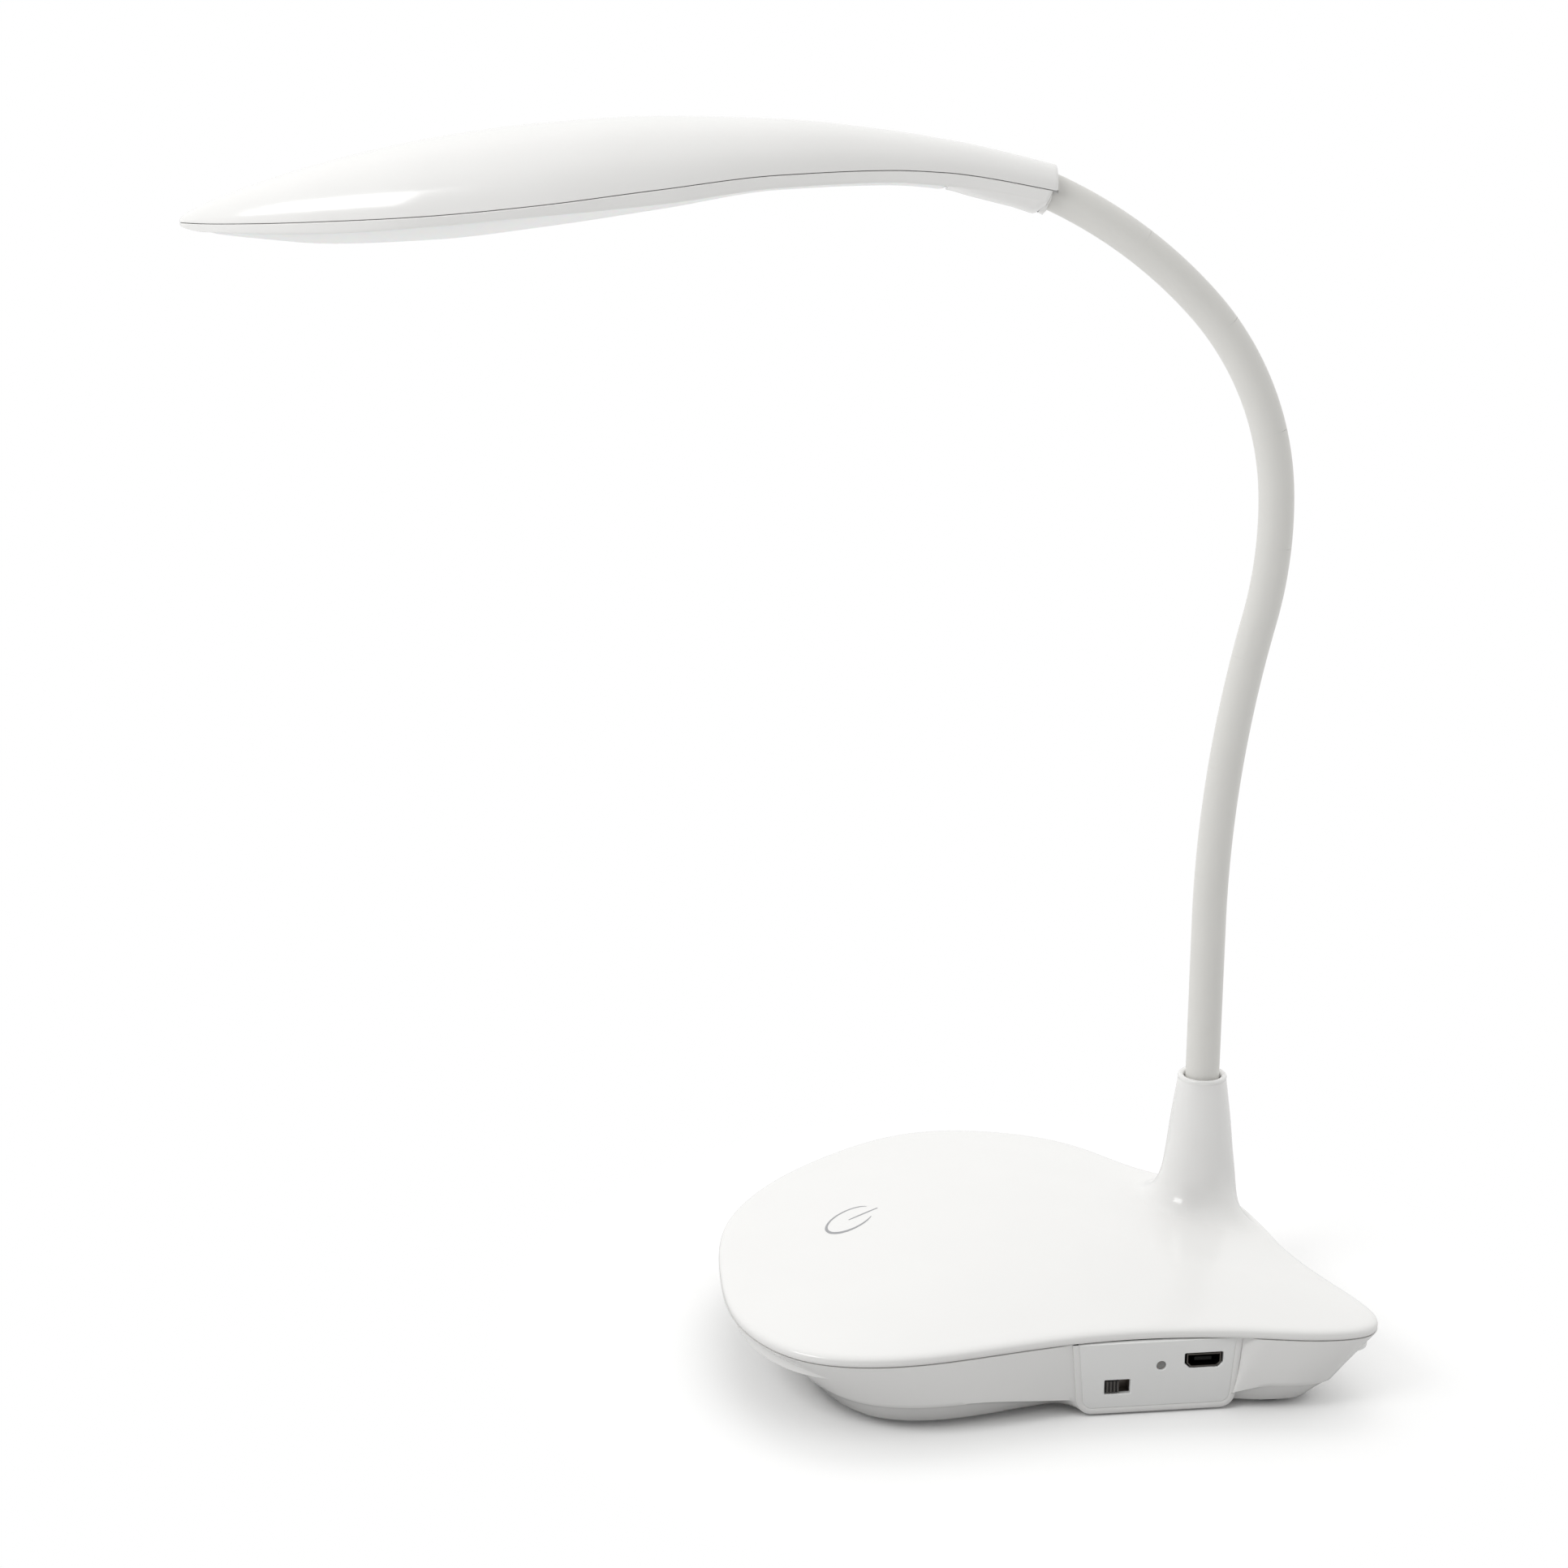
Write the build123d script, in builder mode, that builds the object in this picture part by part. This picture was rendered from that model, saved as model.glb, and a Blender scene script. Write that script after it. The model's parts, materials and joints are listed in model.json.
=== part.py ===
from build123d import *
import math
import os

# Gooseneck desk lamp, millimetres. +X is the tail of the base, -X is where the head points,
# +Y is away from the socket panel, +Z is up. The origin is on the desk under the middle of the base.

# ---- base ----
BASE_LENGTH = 141.5
BASE_WIDTH = 124.0
SEAM_HEIGHT = 16.8
LIP_HEIGHT = 2.2
DOME_RISE = 4.6
BELLY_HEIGHT = 1.4
WALL = 2.0
SEAM_GAP = 0.3
TONGUE_OUTER = 1.1
TONGUE_INNER = 2.6
FOOT_DIAMETER = 12.0
FOOT_RECESS = 0.6
SCREW_DIAMETER = 2.5
SCREW_HEAD_DIAMETER = 4.8
SCREW_HEAD_HEIGHT = 1.1
POST_DIAMETER = 6.4
SCREW_LENGTH = 8.0
TOUCH_SPOT = (-38.4, 1.5)
TOUCH_DIAMETER = 16.0
TOUCH_SEAT = 18.4
TOUCH_CEILING = 20.8
FOIL_THICKNESS = 0.3
BALLAST_SPOT = (-5.0, 0.0)
BALLAST_DIAMETER = 56.0
BALLAST_THICKNESS = 5.0
BATTERY_LENGTH = 46.0
BATTERY_WIDTH = 30.0
BATTERY_HEIGHT = 6.0

# ---- socket panel ----
PANEL_X = 25.5
PANEL_Y = -49.2
PANEL_TURN = 6.5
PANEL_TOP_WIDTH = 36.8
PANEL_BOTTOM_WIDTH = 34.0
PANEL_BOTTOM = 0.5
PANEL_CORNER = 3.5
PANEL_BORDER = 1.3
PLATE_THICKNESS = 1.2
PANEL_DEPTH = 11.0
FIT_GAP = 0.1
SNUG_GAP = 0.03
USB_WIDTH = 8.4
USB_HEIGHT = 3.5
USB_ALONG = 10.1
USB_DROP = 5.0
USB_DEPTH = 5.6
USB_BACK = 1.1
USB_TONGUE_LENGTH = 4.8
USB_CORNER_CUT = 1.05
SWITCH_SLOT_WIDTH = 5.6
SWITCH_SLOT_HEIGHT = 3.3
SWITCH_ALONG = -8.5
SWITCH_DROP = 10.2
SWITCH_TRAVEL = 2.0
INDICATOR_DIAMETER = 2.1
INDICATOR_ALONG = 0.9
INDICATOR_DROP = 5.8
INDICATOR_BODY = 1.7
BOARD_THICKNESS = 1.6
BOARD_WIDTH = 29.0
BOARD_DEPTH = 22.0
BOARD_GAP = 0.8
STANDOFF_DIAMETER = 4.0
USB_WALL = 0.25
SWITCH_DEPTH = 3.4
SWITCH_WIDTH = 8.4
SLIDE_GAP = 0.3
KNOB_RIBS = 4

# ---- neck ----
NECK_X = 43.0
NECK_Y = 15.0
NECK_DIAMETER = 8.2
CORE_DIAMETER = 5.6
COLLAR_HEIGHT = 52.3
COLLAR_DIAMETER = 10.8
COLLAR_WALL = 0.8
NECK_LENGTH = 220.5
JOINT_COUNT = 9
FIRST_JOINT = 10.0
LAST_JOINT_MARGIN = 8.5
CUP_GAP = 0.25
NECK_TAIL = 9.0
FERRULE_SETBACK = 3.6
NUT_HEIGHT = 3.0
NUT_DIAMETER = 12.0
NUT_SLOT = 1.6

# ---- head ----
HEAD_LENGTH = 186.0
HEAD_WIDTH = 40.0
HEAD_RISE = 16.0
HEAD_WALL = 1.6
LENS_GAP = 0.15
LENS_THICKNESS = 1.6
LENS_LEDGE = 1.0
LED_SIZE = 3.0
LED_COUNT = 10
LED_BOARD_LENGTH = 108.0
LED_BOARD_WIDTH = 15.0
LED_BOARD_THICKNESS = 1.2
LED_CLEARANCE = 4.0
LED_POST_DIAMETER = 5.0
LED_SCREW_DIAMETER = 2.0
LED_SCREW_LENGTH = 5.0
LED_SCREW_REACH = 47.5
LED_PITCH = 9.4
LED_ROW_PITCH = 9.0
HEAD_SEAM = 0.15
FERRULE_R = 4.4
LED_HEIGHT = 0.8

# Rim of the base, counterclockwise from the tail, as shares of the base length and width.
RIM = (
    (0.465, -0.395),
    (0.503, -0.376),
    (0.517, -0.342),
    (0.511, -0.298),
    (0.475, -0.206),
    (0.423, -0.061),
    (0.392, 0.077),
    (0.336, 0.214),
    (0.230, 0.308),
    (0.131, 0.422),
    (-0.007, 0.494),
    (-0.155, 0.489),
    (-0.293, 0.386),
    (-0.412, 0.222),
    (-0.475, 0.040),
    (-0.478, -0.161),
    (-0.442, -0.355),
    (-0.353, -0.473),
    (-0.226, -0.497),
    (-0.085, -0.461),
    (0.057, -0.414),
    (0.191, -0.391),
    (0.325, -0.392),
)
TUCK_CENTRE = (0.141 * BASE_LENGTH, -0.355 * BASE_WIDTH)
DOME_CENTRE = (0.028 * BASE_LENGTH, 0.0)
# Share of the way up the side wall, then the size of the outline there along X and along Y.
SIDE_STEPS = ((0.0, 0.74, 0.82), (0.21, 0.80, 0.87), (1.0, 1.0, 1.0))
# Share of the outline kept, then the share of the lip and of the dome climbed by then.
DOME_STEPS = (
    (1.0, 0.50, 0.0),
    (0.995, 0.80, 0.0),
    (0.982, 0.97, 0.02),
    (0.96, 1.0, 0.07),
    (0.88, 1.0, 0.22),
    (0.72, 1.0, 0.48),
    (0.50, 1.0, 0.75),
    (0.25, 1.0, 0.94),
    (0.03, 1.0, 1.0),
)

# Feet and screws as shares of the base length and width, and for a screw how far out it stands.
FEET = ((0.0, 0.0), (-0.198, 0.097), (-0.212, -0.355), (0.035, 0.242), (0.357, -0.306), (0.233, 0.065))
SCREWS = ((-0.254, -0.129, 0.60), (-0.085, 0.258, 0.60), (0.318, -0.161, 0.74), (-0.085, -0.371, 0.84))

# Share of the outline kept under the dome, then the height of the hollow there.
HOLLOW_STEPS = (
    (0.955, SEAM_HEIGHT - 1.0),
    (0.95, SEAM_HEIGHT + LIP_HEIGHT - WALL),
    (0.62, SEAM_HEIGHT + LIP_HEIGHT + 0.60 * DOME_RISE - WALL),
    (0.30, SEAM_HEIGHT + LIP_HEIGHT + 0.88 * DOME_RISE - WALL),
)

# Flare of the neck boss: its reach beyond the cone, every 30 degrees from +X.
FLARE = (1.6, 1.6, 2.4, 5.2, 6.4, 5.6, 4.8, 4.5, 4.5, 5.2, 10.5, 5.2)
FLARE_HEIGHT = 10.0
FLARE_POWER = 3.0
FLARE_LEVELS = (0.0, 0.06, 0.14, 0.28, 0.48, 0.75)
# Height above the desk and radius of the cone of the boss.
CONE = ((19.6, 9.3), (27.0, 8.6), (34.6, 7.65), (41.0, 6.95))
BOSS_HEIGHTS = [CONE[2][0], CONE[3][0], COLLAR_HEIGHT]

# Course of the neck: share of its length, then the degrees it turns to the left over it.
NECK_COURSE = ((0.165, 0.0), (0.320, -13.4), (0.130, 16.9), (0.205, 39.8), (0.180, 22.2))
NECK_START = 90.0
# Bend of the neck inside the head.
NECK_TAIL_TURN = 14.0

# Head stations from the tip to the collar, as shares of its length, half width and rise:
# distance from the collar, half width, top, seam, lens line, underside.
STATIONS = (
    (0.998, 0.07, -0.33, -0.37, -0.39, -0.40),
    (0.970, 0.24, -0.13, -0.37, -0.48, -0.50),
    (0.916, 0.475, 0.11, -0.355, -0.49, -0.57),
    (0.825, 0.75, 0.425, -0.31, -0.47, -0.645),
    (0.706, 0.95, 0.725, -0.23, -0.375, -0.59),
    (0.583, 1.0, 0.912, -0.095, -0.24, -0.425),
    (0.448, 0.90, 1.0, 0.10, -0.095, -0.19),
    (0.314, 0.69, 0.963, 0.275, 0.105, 0.055),
    (0.190, 0.47, 0.82, 0.325, 0.165, 0.11),
    (0.125, 0.395, 0.70, 0.29, 0.115, 0.05),
    (0.099, 0.365, 0.645, 0.255, 0.09, -0.03),
    (0.0, 0.30, 0.375, 0.05, -0.10, -0.31),
)

# Stations with a lens, counted from the tip.
LENS_STATIONS = 10
# Lens stations whose line the light board follows.
LED_BOARD_ROWS = (2, 6)
# The lower shell's side leans in to this share of its half width at the lens line.
LEAN = 0.93

os.makedirs("parts", exist_ok=True)
RIM_TOP = SEAM_HEIGHT + LIP_HEIGHT
NECK_R = NECK_DIAMETER / 2
CORE_R = CORE_DIAMETER / 2
BORE_R = COLLAR_DIAMETER / 2 - COLLAR_WALL


def save(block, name):
    """Labels a finished piece and writes its STEP."""
    block.part.label = name
    export_step(block.part, f"parts/{name}.step")


def rim_points(share_x=1.0, share_y=1.0, centre=(0.0, 0.0), inset=0.0):
    """Rim drawn smaller about a centre, then moved in along its own normal."""
    pts = []
    for x_share, y_share in RIM:
        x = centre[0] + share_x * (x_share * BASE_LENGTH - centre[0])
        y = centre[1] + share_y * (y_share * BASE_WIDTH - centre[1])
        pts.append((x, y))
    moved = []
    for i, (x, y) in enumerate(pts):
        before = pts[i - 1]
        after = pts[(i + 1) % len(pts)]
        run = math.dist(before, after)
        across = (before[1] - after[1]) / run, (after[0] - before[0]) / run
        moved.append((x + across[0] * inset, y + across[1] * inset))
    return moved


def spacing(pts):
    """Lengths along a closed run of points, shared by every curve drawn through its relatives."""
    marks = [0.0]
    for here, there in zip(pts, (*pts[1:], pts[0])):
        marks.append(marks[-1] + math.dist(here, there))
    return marks


def closed_face(pts, marks):
    """Face inside a smooth closed curve through points in the XY plane."""
    with BuildSketch() as face:
        with BuildLine():
            add(Edge.make_spline([Vector(*p) for p in pts], periodic=True, parameters=marks))
        make_face()
    return face.sketch


def rim_face(share_x=1.0, share_y=1.0, centre=(0.0, 0.0), inset=0.0):
    """Face of the rim outline, drawn smaller or set in."""
    return closed_face(rim_points(share_x, share_y, centre, inset), RIM_MARKS)


def dome_height(share):
    """Height of the domed top where the outline has shrunk to this share."""
    for (outer, _, low), (inner, _, high) in zip(DOME_STEPS, DOME_STEPS[1:]):
        if inner <= share <= outer:
            return RIM_TOP + DOME_RISE * (low + (high - low) * (outer - share) / (outer - inner))
    return RIM_TOP


def neck_point(distance):
    """Point (x, z) and direction in degrees of the neck's centreline at a distance from the collar."""
    x, z, turn = NECK_X, COLLAR_HEIGHT, NECK_START
    if distance < 0:
        return x, z + distance, turn
    course = [(share * NECK_LENGTH, degrees) for share, degrees in NECK_COURSE]
    course.append((NECK_TAIL + NECK_LENGTH, NECK_TAIL_TURN * (1 + NECK_LENGTH / NECK_TAIL)))
    for length, degrees in course:
        run = min(distance, length)
        bend = degrees * run / length
        middle = math.radians(turn + bend / 2)
        chord = run
        if abs(bend) > 0.01:
            chord = run * math.sin(math.radians(bend / 2)) / math.radians(bend / 2)
        x += chord * math.cos(middle)
        z += chord * math.sin(middle)
        turn += bend
        distance -= run
        if distance <= 0:
            break
    return x, z, turn


def neck_vector(distance):
    """Position of the centreline in space."""
    x, z, _ = neck_point(distance)
    return (x, NECK_Y, z)


def neck_plane(distance):
    """Plane across the neck, its normal along the centreline."""
    x, z, turn = neck_point(distance)
    along = (math.cos(math.radians(turn)), 0, math.sin(math.radians(turn)))
    return Plane(origin=(x, NECK_Y, z), x_dir=(0, 1, 0), z_dir=along)


def neck_sweep(start, end, radius, bore=0.0):
    """Round bar or tube along the neck between two distances, bent to one arc."""
    with BuildPart() as bar:
        with BuildLine() as course:
            if abs(neck_point(start)[2] - neck_point(end)[2]) < 0.2:
                Line(neck_vector(start), neck_vector(end))
            else:
                ThreePointArc(neck_vector(start), neck_vector((start + end) / 2), neck_vector(end))
        with BuildSketch(neck_plane(start)):
            Circle(radius)
            if bore:
                Circle(bore, mode=Mode.SUBTRACT)
        sweep(path=course.wire())
    return bar.part


RIM_MARKS = spacing(rim_points())
JOINT_STEP = (NECK_LENGTH - FIRST_JOINT - LAST_JOINT_MARGIN) / (JOINT_COUNT - 1)
JOINTS = [FIRST_JOINT + i * JOINT_STEP for i in range(JOINT_COUNT)]
HEAD_X, HEAD_Z, HEAD_TURN = neck_point(NECK_LENGTH)


# ================= base =================
panel = Plane(
    origin=(PANEL_X, PANEL_Y, SEAM_HEIGHT),
    x_dir=(math.cos(math.radians(PANEL_TURN)), math.sin(math.radians(PANEL_TURN)), 0),
    z_dir=(math.sin(math.radians(PANEL_TURN)), -math.cos(math.radians(PANEL_TURN)), 0),
)


def panel_face(border, top_border=None):
    """Panel outline in its own plane, narrower towards the desk, set in by a border."""
    top = PANEL_TOP_WIDTH / 2 - border
    bottom = PANEL_BOTTOM_WIDTH / 2 - border
    low = PANEL_BOTTOM - SEAM_HEIGHT + border
    high = -border if top_border is None else -top_border
    with BuildSketch() as face:
        with BuildLine():
            Polyline((-top, high), (-bottom, low), (bottom, low), (top, high), close=True)
        make_face()
        fillet(face.vertices().group_by(Axis.Y)[0], PANEL_CORNER - border)
    return face.sketch


FLOOR = BELLY_HEIGHT + WALL
FOOT_SPOTS = [(x * BASE_LENGTH, y * BASE_WIDTH) for x, y in FEET]
SCREW_SPOTS = [(x * BASE_LENGTH, y * BASE_WIDTH) for x, y, _ in SCREWS]

# Hollow frame around the plate, which stands out of the side wall. The plate reaches up to the seam.
with BuildPart() as panel_frame:
    with BuildSketch(panel):
        add(panel_face(0.0, 0.0))
    extrude(amount=-PANEL_DEPTH)
    with BuildSketch(panel):
        add(panel_face(PANEL_BORDER, -FIT_GAP))
    extrude(amount=-PLATE_THICKNESS, mode=Mode.SUBTRACT)
    with BuildSketch(panel):
        add(panel_face(2 * PANEL_BORDER))
    extrude(amount=-PANEL_DEPTH, mode=Mode.SUBTRACT)

# Recesses of the screw heads and feet, and the screw holes.
with BuildPart() as floor_cuts:
    with BuildSketch(Plane.XY.offset(BELLY_HEIGHT)):
        with Locations(*SCREW_SPOTS):
            Circle(SCREW_HEAD_DIAMETER / 2 + FIT_GAP)
    extrude(amount=SCREW_HEAD_HEIGHT)
    with BuildSketch(Plane.XY.offset(BELLY_HEIGHT + SCREW_HEAD_HEIGHT)):
        with Locations(*SCREW_SPOTS):
            Circle(SCREW_DIAMETER / 2 + FIT_GAP)
    extrude(amount=WALL)
    with BuildSketch(Plane.XY.offset(BELLY_HEIGHT)):
        with Locations(*FOOT_SPOTS):
            Circle(FOOT_DIAMETER / 2)
    extrude(amount=FOOT_RECESS)

with BuildPart() as base_bottom_shell:
    for share, share_x, share_y in SIDE_STEPS:
        with BuildSketch(Plane.XY.offset(BELLY_HEIGHT + share * (SEAM_HEIGHT - BELLY_HEIGHT))):
            add(rim_face(share_x, share_y, TUCK_CENTRE))
    loft(ruled=True)
    with BuildSketch(Plane.XY.offset(FLOOR)):
        add(rim_face(SIDE_STEPS[0][1], SIDE_STEPS[0][2], TUCK_CENTRE, WALL / 2))
    with BuildSketch(Plane.XY.offset(SEAM_HEIGHT)):
        add(rim_face(inset=WALL))
    loft(ruled=True, mode=Mode.SUBTRACT)
    # Opening in the wall behind the panel.
    with BuildSketch(panel):
        add(panel_face(PANEL_BORDER / 2, -1.0))
    extrude(amount=-PANEL_DEPTH, both=True, mode=Mode.SUBTRACT)
    add(floor_cuts.part, mode=Mode.SUBTRACT)
    add(panel_frame.part)
save(base_bottom_shell, "base_bottom_shell")

with BuildPart() as rubber_feet:
    with BuildSketch():
        with Locations(*FOOT_SPOTS):
            Circle(FOOT_DIAMETER / 2)
    extrude(amount=BELLY_HEIGHT + FOOT_RECESS)
    chamfer(rubber_feet.edges().group_by(Axis.Z)[0], FOOT_RECESS)
save(rubber_feet, "rubber_feet")


# ---- upper shell: lip, dome, boss ----
def cone_radius(height):
    """Radius of the boss at a height, straight between its named heights."""
    rings = (*CONE, (COLLAR_HEIGHT, COLLAR_DIAMETER / 2))
    for (low, wide), (high, slim) in zip(rings, rings[1:]):
        if height <= high:
            return wide + (slim - wide) * (height - low) / (high - low)
    return COLLAR_DIAMETER / 2


def boss_points(height):
    """Section of the boss at a height, flared at its foot."""
    left = max(0.0, 1 - (height - CONE[0][0]) / FLARE_HEIGHT)
    pts = []
    for i, reach in enumerate(FLARE):
        radius = cone_radius(height) + reach * left**FLARE_POWER
        angle = math.radians(360 / len(FLARE) * i)
        pts.append((NECK_X + radius * math.cos(angle), NECK_Y + radius * math.sin(angle)))
    return pts


NUT_SEAT = SEAM_HEIGHT + WALL / 4
with BuildPart() as base_top_shell:
    with BuildSketch(Plane.XY.offset(SEAM_HEIGHT + SEAM_GAP)):
        add(rim_face())
    extrude(amount=LIP_HEIGHT * DOME_STEPS[0][1] - SEAM_GAP)
    for share, lip, dome in DOME_STEPS:
        with BuildSketch(Plane.XY.offset(SEAM_HEIGHT + lip * LIP_HEIGHT + dome * DOME_RISE)):
            add(rim_face(share, share, DOME_CENTRE))
    loft(ruled=True)
    for height in [CONE[0][0] + share * FLARE_HEIGHT for share in FLARE_LEVELS] + BOSS_HEIGHTS:
        with BuildSketch(Plane.XY.offset(height)):
            add(closed_face(boss_points(height), range(len(FLARE) + 1)))
    loft(ruled=True)
    # Hollow under the dome.
    for share, level in HOLLOW_STEPS:
        with BuildSketch(Plane.XY.offset(level)):
            add(rim_face(share, share, DOME_CENTRE))
    loft(ruled=True, mode=Mode.SUBTRACT)
    # Tongue that stands on the wall of the lower shell.
    with BuildSketch(Plane.XY.offset(SEAM_HEIGHT)):
        add(rim_face(inset=TONGUE_OUTER))
        add(rim_face(inset=TONGUE_INNER), mode=Mode.SUBTRACT)
    extrude(amount=LIP_HEIGHT)
    # Root of the boss with the seat of its nut, and the screw posts.
    with BuildSketch(Plane.XY.offset(NUT_SEAT)):
        with Locations((NECK_X, NECK_Y)):
            Circle(NUT_DIAMETER / 2 + WALL / 4)
    extrude(amount=RIM_TOP + FIT_GAP - NUT_SEAT)
    for spot, (_, _, share) in zip(SCREW_SPOTS, SCREWS):
        with BuildSketch(Plane.XY.offset(FLOOR)):
            with Locations(spot):
                Circle(POST_DIAMETER / 2)
        extrude(amount=dome_height(share) - WALL / 2 - FLOOR)
    with BuildSketch(Plane.XY.offset(FLOOR)):
        with Locations(*SCREW_SPOTS):
            Circle(SCREW_DIAMETER / 2)
    extrude(amount=SCREW_LENGTH, mode=Mode.SUBTRACT)
    with BuildSketch(Plane.XY.offset(NUT_SEAT)):
        with Locations((NECK_X, NECK_Y)):
            Circle(BORE_R)
    extrude(amount=COLLAR_HEIGHT, mode=Mode.SUBTRACT)
    # Flat under the touch mark for its electrode.
    with BuildSketch(Plane.XY.offset(TOUCH_SEAT)):
        with Locations(TOUCH_SPOT):
            Circle(TOUCH_DIAMETER / 2 + WALL / 2)
    extrude(amount=TOUCH_CEILING - TOUCH_SEAT)
save(base_top_shell, "base_top_shell")

with BuildPart() as touch_electrode:
    with BuildSketch(Plane.XY.offset(TOUCH_SEAT)):
        with Locations(TOUCH_SPOT):
            Circle(TOUCH_DIAMETER / 2)
    extrude(amount=-FOIL_THICKNESS)
save(touch_electrode, "touch_electrode")

with BuildPart() as base_screws:
    with BuildSketch(Plane.XY.offset(BELLY_HEIGHT + SCREW_HEAD_HEIGHT)):
        with Locations(*SCREW_SPOTS):
            Circle(SCREW_HEAD_DIAMETER / 2)
    extrude(amount=FIT_GAP - SCREW_HEAD_HEIGHT)
    with BuildSketch(Plane.XY.offset(BELLY_HEIGHT + SCREW_HEAD_HEIGHT)):
        with Locations(*SCREW_SPOTS):
            Circle(SCREW_DIAMETER / 2)
    extrude(amount=SCREW_LENGTH - SCREW_HEAD_HEIGHT)
save(base_screws, "base_screws")

with BuildPart() as ballast_plate:
    with BuildSketch(Plane.XY.offset(FLOOR)):
        with Locations(BALLAST_SPOT):
            Circle(BALLAST_DIAMETER / 2)
    extrude(amount=BALLAST_THICKNESS)
    chamfer(ballast_plate.edges().group_by(Axis.Z)[-1], BALLAST_THICKNESS / 10)
save(ballast_plate, "ballast_plate")

with BuildPart() as battery_cell:
    with BuildSketch(Plane.XY.offset(FLOOR + BALLAST_THICKNESS)):
        with Locations(BALLAST_SPOT):
            RectangleRounded(BATTERY_LENGTH, BATTERY_WIDTH, BATTERY_HEIGHT / 3)
    extrude(amount=BATTERY_HEIGHT)
    fillet(battery_cell.edges().group_by(Axis.Z)[-1], BATTERY_HEIGHT / 6)
save(battery_cell, "battery_cell")


# ---- socket panel pieces, drawn in the plane of the panel ----
def socket_outline(width, height):
    """Port outline with its two lower corners cut off."""
    cut = USB_CORNER_CUT * height / USB_HEIGHT
    with BuildSketch(mode=Mode.PRIVATE) as face:
        with BuildLine():
            Polyline(
                (-width / 2, height / 2),
                (-width / 2, cut - height / 2),
                (cut - width / 2, -height / 2),
                (width / 2 - cut, -height / 2),
                (width / 2, cut - height / 2),
                (width / 2, height / 2),
                close=True,
            )
        make_face()
    return face.sketch


USB_SPOT = (USB_ALONG, -USB_DROP)
SWITCH_SPOT = (SWITCH_ALONG, -SWITCH_DROP)
INDICATOR_SPOT = (INDICATOR_ALONG, -INDICATOR_DROP)
KNOB_WIDTH = SWITCH_SLOT_WIDTH - SWITCH_TRAVEL - 2 * SLIDE_GAP
KNOB_HEIGHT = SWITCH_SLOT_HEIGHT - 2 * SLIDE_GAP
KNOB_SPOT = (SWITCH_ALONG - SWITCH_TRAVEL / 2, -SWITCH_DROP)
SHELL_WIDTH = USB_WIDTH - 4 * USB_WALL
SHELL_HEIGHT = USB_HEIGHT - 2 * USB_WALL
BOARD_TOP = SEAM_HEIGHT - USB_DROP - SHELL_HEIGHT / 2
BOARD_SETBACK = PLATE_THICKNESS + BOARD_GAP
SWITCH_FRONT = PLATE_THICKNESS + SLIDE_GAP
SWITCH_LOW = SWITCH_DROP + SWITCH_SLOT_HEIGHT / 2 + WALL / 4

with BuildPart() as io_plate:
    with BuildSketch(panel):
        add(panel_face(PANEL_BORDER + FIT_GAP, FIT_GAP))
        with Locations(USB_SPOT):
            add(socket_outline(USB_WIDTH, USB_HEIGHT), mode=Mode.SUBTRACT)
        with Locations(SWITCH_SPOT):
            Rectangle(SWITCH_SLOT_WIDTH, SWITCH_SLOT_HEIGHT, mode=Mode.SUBTRACT)
        with Locations(INDICATOR_SPOT):
            Circle(INDICATOR_DIAMETER / 2, mode=Mode.SUBTRACT)
    extrude(amount=-PLATE_THICKNESS)
save(io_plate, "io_plate")

with BuildPart() as usb_shell:
    with BuildSketch(panel.offset(-USB_WALL)):
        with Locations(USB_SPOT):
            add(socket_outline(SHELL_WIDTH, SHELL_HEIGHT))
            add(socket_outline(SHELL_WIDTH - 2 * USB_WALL, SHELL_HEIGHT - 2 * USB_WALL), mode=Mode.SUBTRACT)
    extrude(amount=-USB_DEPTH)
save(usb_shell, "usb_shell")

with BuildPart() as usb_tongue:
    with BuildSketch(panel.offset(-USB_WALL - USB_DEPTH)):
        with Locations(USB_SPOT):
            add(socket_outline(SHELL_WIDTH - 2 * USB_WALL, SHELL_HEIGHT - 2 * USB_WALL))
    extrude(amount=USB_BACK)
    with BuildSketch(panel.offset(-USB_WALL - USB_DEPTH)):
        with Locations(USB_SPOT):
            Rectangle(SHELL_WIDTH / 2, SHELL_HEIGHT / 4)
    extrude(amount=USB_TONGUE_LENGTH)
save(usb_tongue, "usb_tongue")

board_plane = Plane(origin=(PANEL_X, PANEL_Y, BOARD_TOP), x_dir=panel.x_dir, z_dir=(0, 0, 1))
with BuildPart() as base_board:
    with BuildSketch(board_plane):
        with Locations((0, BOARD_SETBACK)):
            Rectangle(BOARD_WIDTH, BOARD_DEPTH, align=(Align.CENTER, Align.MIN))
    extrude(amount=-BOARD_THICKNESS)
save(base_board, "base_board")

with BuildPart() as board_standoffs:
    with BuildSketch(board_plane.offset(FLOOR - BOARD_TOP)):
        with Locations(*[(side * BOARD_WIDTH / 3, BOARD_DEPTH - STANDOFF_DIAMETER) for side in (-1, 1)]):
            Circle(STANDOFF_DIAMETER / 2)
    extrude(amount=BOARD_TOP - BOARD_THICKNESS - FLOOR)
save(board_standoffs, "board_standoffs")

with BuildPart() as switch_body:
    with BuildSketch(panel.offset(-SWITCH_FRONT)):
        with Locations((SWITCH_ALONG, (BOARD_TOP - BOARD_THICKNESS - SEAM_HEIGHT - SWITCH_LOW) / 2)):
            Rectangle(SWITCH_WIDTH, SWITCH_LOW + BOARD_TOP - BOARD_THICKNESS - SEAM_HEIGHT)
    extrude(amount=-SWITCH_DEPTH)
    with BuildSketch(panel.offset(-SWITCH_FRONT)):
        with Locations(SWITCH_SPOT):
            Rectangle(SWITCH_SLOT_WIDTH, SWITCH_SLOT_HEIGHT)
    extrude(amount=-SWITCH_DEPTH / 2, mode=Mode.SUBTRACT)
save(switch_body, "switch_body")

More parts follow.
